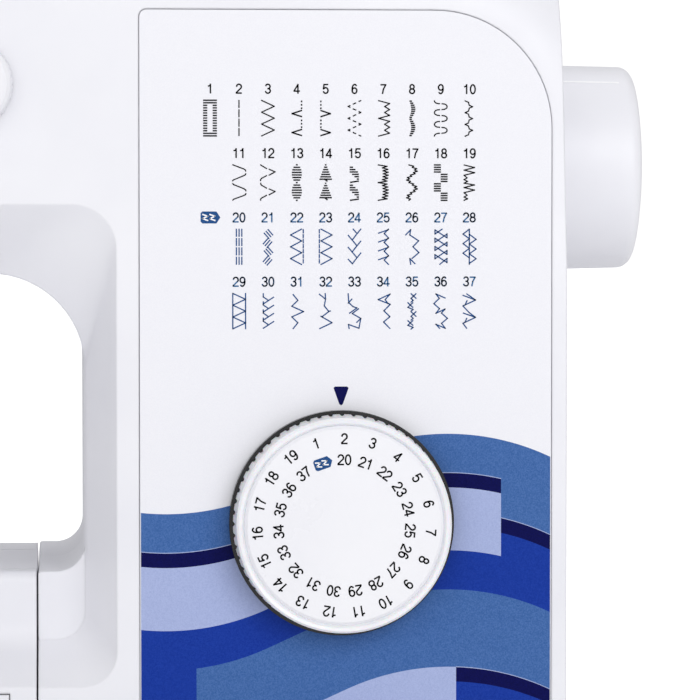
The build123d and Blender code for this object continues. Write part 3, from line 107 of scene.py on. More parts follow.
class Finish:
    """A material built up in layers: mottled colour, uneven gloss and fine relief."""

    def __init__(self, name, edge=0.4, **sockets):
        self.material = bpy.data.materials.new(name)
        self.material.use_nodes = True
        self.tree = self.material.node_tree
        self.surface = self.tree.nodes["Principled BSDF"]
        for socket, value in sockets.items():
            self.surface.inputs[socket.replace("_", " ")].default_value = value
        self.place = self.node("ShaderNodeTexCoord").outputs["Object"]
        self.normal = None
        if edge:
            bevel = self.node("ShaderNodeBevel")
            bevel.samples = 4
            bevel.inputs["Radius"].default_value = edge * MM
            self.normal = bevel.outputs["Normal"]

    def node(self, kind):
        return self.tree.nodes.new(kind)

    def link(self, start, end):
        self.tree.links.new(start, end)

    def stretched(self, stretch):
        """The surface's place, drawn out along an axis."""
        mapping = self.node("ShaderNodeMapping")
        mapping.inputs["Scale"].default_value = stretch
        self.link(self.place, mapping.inputs["Vector"])
        return mapping.outputs["Vector"]

    def noise(self, size, detail=2.0, stretch=(1, 1, 1)):
        """Noise with features of about this size in millimetres."""
        noise = self.node("ShaderNodeTexNoise")
        noise.inputs["Scale"].default_value = 1 / (size * MM)
        noise.inputs["Detail"].default_value = detail
        self.link(self.stretched(stretch), noise.inputs["Vector"])
        return noise.outputs["Fac"]

    def cells(self, size, stretch=(1, 1, 1)):
        """Rounded cells, as on a cast or leather-grained surface."""
        cells = self.node("ShaderNodeTexVoronoi")
        cells.inputs["Scale"].default_value = 1 / (size * MM)
        self.link(self.stretched(stretch), cells.inputs["Vector"])
        return cells.outputs["Distance"]

    def colour(self, mask, low, high, spread=0.15):
        """Base colour between two colours, following a mask."""
        ramp = self.node("ShaderNodeValToRGB")
        ramp.color_ramp.elements[0].position = 0.5 - spread
        ramp.color_ramp.elements[0].color = low
        ramp.color_ramp.elements[1].position = 0.5 + spread
        ramp.color_ramp.elements[1].color = high
        self.link(mask, ramp.inputs["Fac"])
        self.link(ramp.outputs["Color"], self.surface.inputs["Base Color"])
        return self

    def gloss(self, mask, low, high):
        """Roughness between two values, following a mask."""
        spread = self.node("ShaderNodeMapRange")
        spread.inputs["From Min"].default_value = 0.3
        spread.inputs["From Max"].default_value = 0.7
        spread.inputs["To Min"].default_value = low
        spread.inputs["To Max"].default_value = high
        self.link(mask, spread.inputs["Value"])
        self.link(spread.outputs["Result"], self.surface.inputs["Roughness"])
        return self

    def relief(self, mask, depth, strength=1.0):
        """Fine relief of about this depth in millimetres."""
        bump = self.node("ShaderNodeBump")
        bump.inputs["Distance"].default_value = depth * MM
        bump.inputs["Strength"].default_value = strength
        self.link(mask, bump.inputs["Height"])
        if self.normal:
            self.link(self.normal, bump.inputs["Normal"])
        self.normal = bump.outputs["Normal"]
        return self

    def done(self):
        if self.normal:
            self.link(self.normal, self.surface.inputs["Normal"])
        return self.material


def moulded(name, low, high, rough=(0.34, 0.44), grain=0.5, depth=0.012, edge=0.5):
    """Moulded plastic: a fine spark-eroded grain and faint flow marks."""
    finish = Finish(name, edge=edge, IOR=1.5)
    finish.colour(finish.noise(60, 3), low, high)
    finish.gloss(finish.noise(14, 4), *rough)
    finish.relief(finish.noise(grain, 2), depth, 0.35)
    return finish.done()


def film(name, low, high, speckle=0.45, rough=(0.24, 0.32)):
    """Printed film: a fine print speckle under a smooth clear layer."""
    finish = Finish(name, edge=0, IOR=1.5, Specular_IOR_Level=0.06)
    finish.colour(finish.noise(speckle, 2), low, high, 0.2)
    finish.gloss(finish.noise(25, 3), *rough)
    finish.relief(finish.noise(3.5, 2), 0.004, 0.5)
    return finish.done()


def metal(name, low, high, rough, stretch=(1, 1, 1), line=0.25, depth=0.004, edge=0.3):
    """Bare metal with tool marks drawn out across the stretch, and a few smudges."""
    finish = Finish(name, edge=edge, Metallic=1.0)
    finish.colour(finish.noise(9, 4), low, high)
    finish.gloss(finish.noise(line * 8, 5, stretch), *rough)
    finish.relief(finish.noise(line, 3, stretch), depth, 0.5)
    return finish.done()


def cast(name, low, high):
    """Cast aluminium: a pebbled skin with dull and bright patches."""
    finish = Finish(name, edge=0.8, Metallic=1.0)
    finish.colour(finish.noise(18, 5), low, high)
    finish.gloss(finish.noise(5, 4), 0.38, 0.6)
    finish.relief(finish.cells(1.1), 0.05, 0.6)
    finish.relief(finish.noise(0.5, 3), 0.03, 0.4)
    return finish.done()


def clear(name, tint, rough=(0.05, 0.12)):
    """Clear moulded acrylic with faint flow marks and fine scuffs."""
    finish = Finish(name, edge=0.2, IOR=1.49, Transmission_Weight=1.0)
    finish.colour(finish.noise(20, 3), tint, tuple(min(1.0, 1.06 * c) for c in tint))
    finish.gloss(finish.noise(6, 5), *rough)
    finish.relief(finish.noise(2.5, 3), 0.004, 0.4)
    return finish.done()


def milky(name, low, high):
    """Milky moulded plastic: light sinks a little way in, and the skin is glossy."""
    finish = Finish(name, edge=0.3, IOR=1.49, Subsurface_Weight=0.2)
    finish.surface.inputs["Subsurface Scale"].default_value = 0.8 * MM
    finish.colour(finish.noise(12, 3), low, high)
    finish.gloss(finish.noise(9, 3), 0.26, 0.34)
    finish.relief(finish.noise(4, 2), 0.004, 0.3)
    return finish.done()


def rubber(name, low, high):
    """Rubber with a dusty bloom."""
    finish = Finish(name, edge=0.5, IOR=1.52)
    finish.colour(finish.noise(7, 5), low, high)
    finish.gloss(finish.noise(4, 4), 0.6, 0.85)
    finish.relief(finish.noise(0.7, 4), 0.03, 0.6)
    return finish.done()


def board(name):
    """A circuit board's green mask over a grid of copper tracks."""
    finish = Finish(name, edge=0.1, IOR=1.5)
    tracks = finish.node("ShaderNodeTexBrick")
    tracks.inputs["Scale"].default_value = 1 / (6 * MM)
    tracks.inputs["Mortar Size"].default_value = 0.06
    tracks.inputs["Color1"].default_value = rgb(14, 74, 40)
    tracks.inputs["Color2"].default_value = rgb(18, 84, 46)
    tracks.inputs["Mortar"].default_value = rgb(46, 120, 62)
    finish.link(finish.place, tracks.inputs["Vector"])
    finish.link(tracks.outputs["Color"], finish.surface.inputs["Base Color"])
    finish.gloss(finish.noise(9, 3), 0.3, 0.45)
    finish.relief(tracks.outputs["Fac"], 0.02, 0.6)
    return finish.done()


WHITE = rgb(236, 236, 241)
WHITE_DEEP = rgb(231, 231, 237)

finishes = {
    "casing_white": moulded("casing_white", WHITE_DEEP, WHITE, edge=1.2),
    "panel_white": film("panel_white", rgb(234, 234, 240), rgb(238, 238, 243)),
    "dial_black": moulded("dial_black", rgb(14, 14, 16), rgb(22, 22, 25), (0.18, 0.3), edge=0.3),
    "dial_white": moulded("dial_white", rgb(236, 236, 241), rgb(240, 240, 244), (0.26, 0.36)),
    "dial_rim": milky("dial_rim", rgb(236, 237, 241), rgb(242, 242, 246)),
    "knob_white": moulded("knob_white", WHITE_DEEP, rgb(238, 238, 242), (0.28, 0.38), edge=0.3),
    "frame_aluminium": cast("frame_aluminium", rgb(150, 152, 156), rgb(188, 190, 194)),
    "steel": metal("steel", rgb(150, 150, 153), rgb(188, 188, 190), (0.24, 0.42), (1, 18, 18)),
    "chrome": metal("chrome", rgb(205, 206, 210), rgb(226, 227, 230), (0.06, 0.16), (1, 1, 8), 0.4, 0.001),
    "bronze": metal("bronze", rgb(150, 108, 58), rgb(186, 140, 82), (0.35, 0.5)),
    "black_plastic": moulded("black_plastic", rgb(20, 20, 22), rgb(32, 32, 35), (0.45, 0.6), 0.8, 0.03),
    "grey_plastic": moulded("grey_plastic", rgb(146, 149, 155), rgb(160, 163, 168), (0.4, 0.52), 0.8, 0.03),
    "clear_cover": clear("clear_cover", rgb(226, 232, 238)),
    "belt_rubber": rubber("belt_rubber", rgb(22, 22, 22), rgb(40, 40, 40)),
    "foot_rubber": rubber("foot_rubber", rgb(52, 52, 55), rgb(74, 74, 77)),
    "circuit_green": board("circuit_green"),
    "motor_steel": moulded("motor_steel", rgb(52, 54, 58), rgb(68, 70, 74), (0.4, 0.55), 1.2, 0.04),
    "bobbin_plastic": clear("bobbin_plastic", rgb(214, 224, 234)),
}

inks = {
    "ink_black": film("ink_black", rgb(5, 5, 8), rgb(14, 14, 18)),
    "ink_slate": film("ink_slate", rgb(54, 98, 142), rgb(70, 114, 158)),
    "ink_blue": film("ink_blue", rgb(30, 70, 124), rgb(44, 86, 140)),
    "ink_navy": film("ink_navy", rgb(6, 9, 68), rgb(12, 15, 82)),
    "ink_royal": film("ink_royal", rgb(18, 50, 144), rgb(30, 62, 160)),
    "ink_steel": film("ink_steel", rgb(56, 94, 154), rgb(78, 114, 174)),
    "ink_lavender": film("ink_lavender", rgb(158, 170, 212), rgb(172, 184, 222)),
    "ink_white": film("ink_white", rgb(246, 246, 249), rgb(252, 252, 254)),
}

SMOOTH_ANGLE = math.radians(32)


def finish_cad_nodes():
    """Every CAD piece gets its finish, and round faces are shaded as round."""
    slots = {part["node"]: part["material_slot"] for part in frame["record"]["subparts"]}
    for name, piece in frame["nodes"].items():
        piece.data.materials.clear()
        piece.data.materials.append(finishes[slots[name]])
        for face in piece.data.polygons:
            face.use_smooth = True
        weld = piece.modifiers.new("weld", "WELD")
        weld.merge_threshold = 0.002 * MM
        split = piece.modifiers.new("sharp_edges", "EDGE_SPLIT")
        split.split_angle = SMOOTH_ANGLE


finish_cad_nodes()

# ------------------------------------------------------------------ printing


def on_front(y):
    """Print on an upright face seen from the front: across is X, up is Z."""
    return lambda across, up, lift: Vector((across, y - LIFT - lift, up)) * MM


def on_rim(centre, start, radius, taper, turn):
    """Print on a wheel's tapered rim, at a turn up from the front: across is X, up is around it."""
    outward = Vector((0, -math.cos(turn), math.sin(turn)))
    around_rim = Vector((0, math.sin(turn), math.cos(turn)))

    def place(across, up, lift):
        reach = radius - taper * (across - start) + LIFT + lift
        rim = Vector((across, centre.y, centre.z)) + outward * reach
        return (rim + around_rim * up) * MM

    return place


def arc(middle, across, up, start, end, steps=12):
    """Part of an ellipse, with angles in degrees anticlockwise from the right."""
    turns = [math.radians(start + (end - start) * k / steps) for k in range(steps + 1)]
    return [(middle[0] + across * math.cos(t), middle[1] + up * math.sin(t)) for t in turns]


# Numerals are pen lines in a box one unit tall, with zero across at the middle.
NUMERAL = 3.3             # height of the numerals in millimetres
NUMERAL_PEN = 0.15        # width of the pen, from the height
NUMERAL_STEP = 0.70       # from one digit to the next
PEN_OVERRUN = 0.7         # how far a pen line runs past its ends, from half the pen
NUMERALS = {
    "0": [arc((0, 0.5), 0.245, 0.46, 0, 360, 20)],
    "1": [[(-0.17, 0.76), (-0.02, 0.80), (0.05, 0.96), (0.05, 0.04)]],
    "2": [arc((0, 0.70), 0.245, 0.26, 170, -35) + [(-0.25, 0.12), (-0.26, 0.04), (0.25, 0.04)]],
    "3": [arc((0, 0.735), 0.225, 0.225, 160, -90), arc((0, 0.28), 0.25, 0.24, 90, -165)],
    "4": [[(0.12, 0.04), (0.12, 0.94), (-0.27, 0.30), (-0.27, 0.26), (0.27, 0.26)]],
    "5": [[(0.22, 0.95), (-0.17, 0.95), (-0.23, 0.50)] + arc((0, 0.33), 0.25, 0.29, 135, -155)],
    "6": [arc((0.02, 0.5), 0.26, 0.46, 50, 200), arc((0, 0.32), 0.24, 0.28, 0, 360, 18)],
    "7": [[(-0.25, 0.94), (0.26, 0.94), (0.02, 0.5), (-0.08, 0.04)]],
    "8": [arc((0, 0.735), 0.21, 0.225, 0, 360, 16), arc((0, 0.28), 0.25, 0.24, 0, 360, 18)],
    "9": [arc((-0.02, 0.5), 0.26, 0.46, 230, 380), arc((0, 0.68), 0.24, 0.28, 0, 360, 18)],
}


class Print:
    """One ink on one surface: thin closed shapes joined into one piece."""

    def __init__(self, name, ink, surface, layer=0):
        self.name = name
        self.ink = ink
        self.surface = surface
        self.layer = layer * INK
        self.mesh = bmesh.new()

    def raised(self, faces):
        """Gives flat faces their thickness."""
        made = bmesh.ops.extrude_face_region(self.mesh, geom=faces, use_keep_orig=True)
        moved = [v for v in made["geom"] if isinstance(v, bmesh.types.BMVert)]
        step = self.surface(0, 0, INK) - self.surface(0, 0, 0)
        bmesh.ops.translate(self.mesh, verts=moved, vec=step)

    def shape(self, outline):
        """A filled outline, given as points across and up."""
        verts = [self.mesh.verts.new(self.surface(x, z, self.layer)) for x, z in outline]
        self.raised([self.mesh.faces.new(verts)])

    def band(self, columns):
        """A strip between two edges, given as (across, upper, lower)."""
        rails = [
            [self.mesh.verts.new(self.surface(x, z, self.layer)) for z in (upper, lower)]
            for x, upper, lower in columns
        ]
        faces = [
            self.mesh.faces.new((a[1], b[1], b[0], a[0])) for a, b in zip(rails, rails[1:])
        ]
        self.raised(faces)

    def stroke(self, points, width):
        """A pen line through points, with its ends and corners filled."""
        for (x0, z0), (x1, z1) in zip(points, points[1:]):
            length = math.hypot(x1 - x0, z1 - z0)
            along = ((x1 - x0) / length * width / 2, (z1 - z0) / length * width / 2)
            side = (-along[1], along[0])
            x0, z0 = x0 - along[0] * PEN_OVERRUN, z0 - along[1] * PEN_OVERRUN
            x1, z1 = x1 + along[0] * PEN_OVERRUN, z1 + along[1] * PEN_OVERRUN
            self.shape([
                (x0 + side[0], z0 + side[1]), (x0 - side[0], z0 - side[1]),
                (x1 - side[0], z1 - side[1]), (x1 + side[0], z1 + side[1]),
            ])

    def number(self, value, x, z, height=NUMERAL, turn=0.0):
        """A number centred on a point, turned clockwise by an angle in degrees."""
        cos, sin = math.cos(math.radians(turn)), math.sin(math.radians(turn))
        digits = str(value)
        start = -(len(digits) - 1) * NUMERAL_STEP / 2
        for place, digit in enumerate(digits):
            for line in NUMERALS[digit]:
                points = []
                for across, up in line:
                    a = (across + start + place * NUMERAL_STEP) * height
                    b = (up - 0.5) * height
                    points.append((x + a * cos + b * sin, z - a * sin + b * cos))
                self.stroke(points, NUMERAL_PEN * height)

    def build(self, body, slot):
        """Makes the piece, which rides on a body."""
        bmesh.ops.recalc_face_normals(self.mesh, faces=self.mesh.faces)
        data = bpy.data.meshes.new(self.name)
        self.mesh.to_mesh(data)
        self.mesh.free()
        data.materials.append(inks[self.ink])
        piece = bpy.data.objects.new(self.name, data)
        bpy.context.collection.objects.link(piece)
        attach(piece, body)
        return piece


# ------------------------------------------------------------------ stitch pictures
# A picture stands on a grid 8 across and 24 down. Each is a list of pen lines.

GRID_ACROSS = 8
GRID_DOWN = 24


def zigzag(first, second, strokes, top=0, bottom=GRID_DOWN):
    """Corners of an even zigzag that starts at the first side."""
    rows = [top + (bottom - top) * k / strokes for k in range(strokes + 1)]
    return [((first, second)[k % 2], row) for k, row in enumerate(rows)]


def part_of(start, end, low, high):
    """The stretch of a line between two fractions of its length."""
    ends = []
    for share in (low, high):
        ends.append(tuple(a + (b - a) * share for a, b in zip(start, end)))
    return ends


def dashed(points, spans):
    """The same spans of every stroke of a line."""
    lines = []
    for start, end in zip(points, points[1:]):
        lines += [part_of(start, end, low, high) for low, high in spans]
    return lines


def mirrored(lines):
    return [[(GRID_ACROSS - x, row) for x, row in line] for line in lines]


def level(left, right, row):
    return [(left, row), (right, row)]


def satin(row, width, middle=4):
    return level(middle - width / 2, middle + width / 2, row)


def repeated(lines, count, step):
    return [[(x, row + step * k) for x, row in line] for k in range(count) for line in lines]


def buttonhole():
    step = GRID_DOWN / 14
    lines = [level(0, 8, step * k) for k in (0, 1, 13, 14)]
    for k in range(2, 13):
        lines += [level(0, 2, step * k), level(6, 8, step * k)]
    return lines


def straight(columns):
    return [[(x, 6.3 * k), (x, 6.3 * k + 4.9)] for x in columns for k in range(4)]


def blind_hem():
    lines = [[(7, row), (7, row + 0.5)] for row in (0.4, 2.7, 5)]
    lines += [[(7, 6.8), (1, 8.9), (7, 10.9)]]
    return repeated(lines, 2, 12.8)


def overcast():
    corners_across = [1, 8, 4.8, 8, 4.8, 8] * 2 + [1]
    return [[(x, 2 * k) for k, x in enumerate(corners_across)]]


def scallop_ticks():
    lines = []
    for k in range(18):
        bulge = math.sin(math.pi * (k % 9 + 0.5) / 9)
        middle = 2.8 + 2 * bulge
        lines.append(level(middle - 0.4 - 0.6 * bulge, middle + 0.4 + 0.6 * bulge, 0.3 + 1.37 * k))
    return lines


def serpentine():
    lines = []
    for k in range(7):
        side = 1 if k % 2 else -1
        low, high = (0 if k == 0 else -85), (0 if k == 6 else 85)
        angles = [math.radians(low + (high - low) * j / 8) for j in range(9)]
        lines.append([(4 + side * 4 * math.cos(a) ** 0.7, 4 * k + 2.0 * math.sin(a)) for a in angles])
    return lines


def stepped_zigzag():
    line = []
    turns = zigzag(1.2, 6, 6)
    for (x0, row0), (x1, row1) in zip(turns, turns[1:]):
        for across, down in ((0, 0), (0.45, 0.25), (0.55, 0.75)):
            line.append((x0 + (x1 - x0) * across, row0 + (row1 - row0) * down))
    return [line + [(1.2, 24)]]


def rounded_zigzag():
    falling = [(0, 0), (6.9, 2.8), (8, 3.6), (8.2, 4.3)]
    rising = [(8.2, 6), (8, 6.7), (6.9, 7.4), (0.6, 10.2), (0, 10.9)]
    again = [(0, 12.6), (0.6, 13.4), (7.1, 16.2), (8.1, 17), (8.3, 17.7)]
    last = [(8.3, 19.4), (8, 20.2), (6.9, 20.8), (0.6, 23.3), (0, 24)]
    return [falling, rising, again, last]


def dashed_arches():
    tip = [(4.7, 3), (8.5, 4.8), (4.7, 7)]
    left = [(3.2, 7.3), (0, 9.2), (-0.6, 9.9), (-0.6, 10.7)]
    start = [(-0.6, 0.1), (3.2, 2.6)]
    second = [(-0.6, 12.4), (-0.4, 13.2), (0, 13.8), (3.2, 15.8)]
    return [start, tip, left, second] + [[(x, row + 13.3) for x, row in line] for line in (tip, left)]


def satin_beads():
    return [satin(24 / 14 * k, 0.5 + 5.2 * math.sin(math.pi * (k % 7) / 7) ** 0.6) for k in range(15)]


def satin_cones():
    lines = []
    for top in (0, 12.5):
        lines += [satin(top + 1.62 * k, 0.3 + 1.15 * k) for k in range(7)]
        lines.append([(3.4, top + 9.8), (4.9, top + 11)])
    return lines


def satin_leaves():
    spans = [(1.3, 2.8), (1.3, 4.3), (1.3, 5.8), (2.8, 6.4), (4.3, 6.5), (5.7, 6.5)]
    lines = []
    for top in (1.6, 13.8):
        lines += [level(*span, top + 1.6 * k) for k, span in enumerate(spans)]
        lines.append([(1.5, top + 10.2), (6.5, top + 9.4)])
    return lines


def shell_overlock():
    line = []
    for k in range(25):
        bulge = math.sin(math.pi * (k % 12) / 12)
        across = 6.2 + bulge if k % 2 else 2.9 + bulge
        line.append((0.8 if k % 12 == 0 else across, k))
    return [line]


def wandering_zigzag():
    line = []
    for k in range(29):
        row = 24 * k / 28
        across = 4 + 2.5 * math.sin(4 * math.pi * (row - 0.8) / 24) + (1 if k % 2 else -1)
        line.append((across, row))
    return [line]


def blocks():
    return [level(*((0, 3.8), (4.3, 8))[k // 4 % 2], 1.6 * k) for k in range(16)]


def wide_and_narrow():
    big, small = 1.75, 1.2
    line, row = [], 0
    for across in (0.6, 7.3, 0.6, 7.3, 0.6, 2.6, 0.6, 2.9) * 2:
        line.append((across, row))
        narrow = across < 3 and len(line) > 1 and line[-2][0] < 3
        row += small if narrow else big
    return [line + [(0.6, 24)]]


def herringbone():
    lines = []
    for k in range(4):
        top = 0.3 + 6 * k
        for j in range(3):
            start, end = (4 - 1.2 * j, top + 1.2 * j), (7 - 1.2 * j, top + 3.7 + 1.2 * j)
            lines += [[start, end]] if k % 2 == 0 else mirrored([[start, end]])
    return lines


def edge_triangles():
    return [zigzag(7, 0, 6)] + dashed([(8, 0.3), (8, 24)], [(k / 7, k / 7 + 0.1) for k in range(7)])


def feather():
    lines = []
    for top in (0, 8.1, 16.2):
        reach = 11.1 if top < 16 else 7.8
        lines += [[(8, top), (2.8, top + 7)], [(0, top + 4.2), (5.4, top + reach)]]
    lines[-1] = [(0, 20.4), (2.8, 23.6)]
    return lines + [[(3.1, 0), (5.4, 2.8)]]


def comb():
    return [zigzag(7.3, 4.6, 8)] + [[(1, 2.8 + 6 * k), (7.3, 6 * k + 0.4)] for k in range(4)]


def lattice():
    lines = []
    for k in range(4):
        top = 0.6 + 5.6 * k
        lines += [[(0.4, top), (8, top + 5.4)], [(0.4, top + 2.8), (8, top - 2.8)]]
        lines += [[(0.4, top), (0.4, top + 2.8)], [(8, top + 2.6), (8, top + 5.4)]]
    lines[1] = [(0.4, 3.4), (5, 0)]
    return lines + [[(3.4, 24), (8, 20)]]


def both_sides():
    lines = [[(4, 0), (4, 24)]]
    for k in range(3):
        lines.append([(4, 0.2 + 6.5 * k), (0, 3.4 + 6.5 * k), (4, 6.6 + 6.5 * k)])
        lines.append([(4, 3.6 + 6.6 * k), (8.3, 7 + 6.6 * k), (4, 10.2 + 6.6 * k)])
    return lines


def ladder():
    return [zigzag(0, 8, 6), [(0, 0), (0, 24)], [(8, 0), (8, 24)]]


def thorns():
    lines = []
    for k in range(4):
        top = 5.5 * k
        lines += [[(1, top + 0.2), (1, top + 2.4), (4, top + 4.6)], [(7.5, top + 2.6), (1, top + 7.2)]]
    return lines


def crosses():
    lines = []
    for k in range(4):
        middle, row = (5, 3)[k % 2], 2 + 6.1 * k
        lines += [
            [(middle - 1.6, row - 1.6), (middle + 1.6, row + 1.6)],
            [(middle + 1.6, row - 1.6), (middle - 1.6, row + 1.6)],
            [(middle - 1.6, row + 1.6), (4.8, row + 3), (3.4, row + 4.2)],
        ]
    return lines


OPEN_HOOK = [[(0, 4), (3.2, 0.4), (2.6, 4), (8.2, 8), (4.6, 12), (8.4, 16), (4, 20)],
             [(5.9, 23.5), (2.6, 20), (3.2, 24)]]
TWO_STEP = [[(1.6, 0.8), (4.6, 4.8), (0.8, 8.8), (8.2, 12.4), (0.8, 16), (4.6, 20), (1.6, 24)]]
BRANCH = [[(3.7, 0.2), (3.9, 4), (3.1, 8.6), (6, 12.4), (1.6, 16), (8, 20), (0.2, 24)],
          [(0, 0.6), (3.6, 3.8)], [(6, 12.4), (7, 12)], [(0.9, 15.6), (2.2, 16.4)]]
THICKET = [[(0, 0.4), (0.4, 6.4), (3.2, 9.2), (5.6, 10), (0.8, 13.6)],
           [(2.4, 4), (0, 6.8)], [(6.6, 10.6), (2.6, 13.8), (8, 17.2), (5.4, 19.8)],
           [(8, 17), (6.8, 23.8), (0.2, 21.2), (0.6, 24)]]
ARROW = [[(8.4, 0.6), (0.8, 4.4), (8.4, 7.6), (4.4, 12), (8.2, 16), (4.2, 19.6), (8.2, 24)],
         [(8.4, 0.6), (5.2, 4.4), (7, 7)]]
HOOKS = [[(6.9, 3.4), (1, 0.6), (3.2, 3.6), (-0.3, 7.2), (3.3, 10.6), (1, 13.8), (6.9, 10.8),
          (4.5, 13.6), (8.3, 17.2), (4.6, 20.6), (7, 24), (1, 21.2), (3.4, 24)]]
ARROWHEADS = [[(0, 1.6), (8, 4.8), (0, 8.8), (4, 13.4), (8, 16.6), (0, 20.6), (2.4, 24)],
              [(2.4, 0.6), (8, 4.8)], [(2.6, 5.2), (1.3, 8.2)],
              [(0.2, 13.6), (8, 16.6)], [(2.4, 17.2), (1.3, 20)]]

stitches = {
    1: buttonhole(), 2: straight([4]), 3: [zigzag(0, 8, 6)], 4: blind_hem(), 5: mirrored(blind_hem()),
    6: dashed(zigzag(8, 0, 6), [(0, 0.15), (0.4, 0.6), (0.85, 1)]), 7: overcast(), 8: scallop_ticks(),
    9: serpentine(), 10: stepped_zigzag(), 11: rounded_zigzag(), 12: dashed_arches(), 13: satin_beads(),
    14: satin_cones(), 15: satin_leaves(), 16: shell_overlock(), 17: wandering_zigzag(), 18: blocks(),
    19: wide_and_narrow(), 20: straight([2.3, 4, 5.7]), 21: herringbone(), 22: edge_triangles(),
    23: mirrored(edge_triangles()), 24: feather(), 25: comb(), 26: OPEN_HOOK, 27: lattice(),
    28: both_sides(), 29: ladder(), 30: thorns(), 31: TWO_STEP, 32: BRANCH, 33: THICKET, 34: ARROW,
    35: crosses(), 36: HOOKS, 37: ARROWHEADS,
}
HEAVY = (1, 4, 5, 8, 13, 14, 15, 18)    # these are drawn with a broad pen
FIRST_UTILITY = 1
FIRST_STRETCH = 20
LAST_STITCH = 37

# ------------------------------------------------------------------ stitch chart

CHART_LEFT = 24.2         # first column of numbers, from the panel's left edge
CHART_DOWN = 27.0         # first row of numbers, from the panel's top edge
CHART_COLUMN = 9.95
CHART_ROW = 22.1
PICTURE_DOWN = 4.0        # top of a picture, below its number's middle
PICTURE_WIDTH = 4.4
PICTURE_HEIGHT = 12.2
PEN = 0.42
BROAD_PEN = 0.5
CHART_TAG = 4.1           # height of the tag
CHART_ROWS = [(1, 0, 10), (11, 1, 9), (20, 1, 9), (29, 1, 9)]    # first number, first column, count


def chart_places():
    """Each stitch number with the middle of its numeral on the panel."""
    for row, (first, column, count) in enumerate(CHART_ROWS):
        for k in range(count):
            across = panel_low.x + CHART_LEFT + CHART_COLUMN * (column + k)
            yield first + k, across, panel_high.z - CHART_DOWN - CHART_ROW * row


def draw_picture(ink, number, across, top):
    """One stitch picture, hung from the middle of its top edge."""
    pen = BROAD_PEN if number in HEAVY else PEN
    for line in stitches[number]:
        ink.stroke(
            [
                (across + (x / GRID_ACROSS - 0.5) * PICTURE_WIDTH, top - row / GRID_DOWN * PICTURE_HEIGHT)
                for x, row in line
            ],
            pen,
        )


# A tag's outline and the zigzag stroke on it, in half heights.
TAG_OUTLINE = [(-1.3, -1), (1.05, -1), (1.7, 0), (1.05, 1), (-1.3, 1), (-1.6, 0.7), (-1.6, -0.7)]
TAG_MARK = [(0, 0.5), (0.85, 0.22), (0, -0.2), (0.85, -0.5)]
TAG_MARK_STARTS = (-1.25, -0.05)
TAG_PEN = 0.11            # from the tag's height


def draw_tag(ink, mark, across, up, height, turn=0.0):
    """A five-sided tag that points right, with two small zigzag strokes on it."""
    half = height / 2
    cos, sin = math.cos(math.radians(turn)), math.sin(math.radians(turn))

    def turned(points):
        return [(across + a * cos + b * sin, up - a * sin + b * cos) for a, b in points]

    ink.shape(turned([(a * half, b * half) for a, b in TAG_OUTLINE]))
    for start in TAG_MARK_STARTS:
        points = [((start + a) * half, b * half) for a, b in TAG_MARK]
        mark.stroke(turned(points), height * TAG_PEN)


def print_chart():
    """Numbers and pictures of the stitches, black for one group and blue for the other."""
    face = on_front(FRONT)
    black = Print("chart_utility_stitches", "ink_black", face)
    slate = Print("chart_stretch_numbers", "ink_slate", face)
    blue = Print("chart_stretch_stitches", "ink_blue", face)
    marks = Print("chart_tag_marks", "ink_white", face, layer=1.4)
    for number, across, up in chart_places():
        stretch = number >= FIRST_STRETCH
        (slate if stretch else black).number(number, across, up)
        draw_picture(blue if stretch else black, number, across, up - PICTURE_DOWN)
    tag_up = panel_high.z - CHART_DOWN - CHART_ROW * 2
    draw_tag(blue, marks, panel_low.x + CHART_LEFT, tag_up, CHART_TAG)
    for ink in (black, slate, blue, marks):
        ink.build("root", "panel_white")


print_chart()

# ------------------------------------------------------------------ wave artwork

WAVE_R = 84.2             # both arcs of the wave's edge have this radius
WAVE_HILL = (135.0, 134.8)
WAVE_VALLEY = (38.4, 107.5)
WAVE_STEPS = 96
PANEL_FOOT_R = 3.0        # rounded bottom corners of the panel
PANEL_EDGE = 0.25         # the print stops this far from the panel's edge
# Depths below the wave's edge where each colour ends, and the uprights where the bands step.
STEEL_TO = 13.5
NAVY_TO = 18.6
LAVENDER_TO = 40.4
ROYAL_TO = 54.0
OUTER_STEEL_TO = 27.1
OUTER_NAVY_TO = 32.3
LOW_STEEL_TO = 80.9
LOW_NAVY_TO = 86.0
PANEL_DEPTH = 400.0       # deeper than the panel reaches
STEP_LEFT = 48.4
STEP_LOW = 138.4
STEP_RIGHT = 154.0
HAIRLINE = (0.18, 0.08)   # a pale line's reach above and below the top of a navy band


# The hill's arc and the valley's arc are joined by their common tangent.
hill = Vector((WAVE_HILL[0], WAVE_HILL[1] - WAVE_R))
valley = Vector((WAVE_VALLEY[0], WAVE_VALLEY[1] + WAVE_R))
apart = valley - hill
lean = math.atan2(apart.y, apart.x) - math.acos(2 * WAVE_R / apart.length)
hill_end = hill + WAVE_R * Vector((math.cos(lean), math.sin(lean)))
valley_end = hill + valley - hill_end


def wave(x):
    """Height of the uppermost edge."""
    if x > hill_end.x:
        return hill.y + math.sqrt(WAVE_R**2 - (x - hill.x) ** 2)
    if x < valley_end.x:
        return valley.y - math.sqrt(WAVE_R**2 - (x - valley.x) ** 2)
    share = (x - valley_end.x) / (hill_end.x - valley_end.x)
    return valley_end.y + share * (hill_end.y - valley_end.y)


def panel_floor(x):
    """The panel's lower edge, with its rounded corners."""
    inside = min(x - panel_low.x, panel_high.x - x) - PANEL_EDGE
    step = max(0.0, PANEL_FOOT_R - inside)
    return panel_low.z + PANEL_EDGE + PANEL_FOOT_R - math.sqrt(max(0.0, PANEL_FOOT_R**2 - step**2))


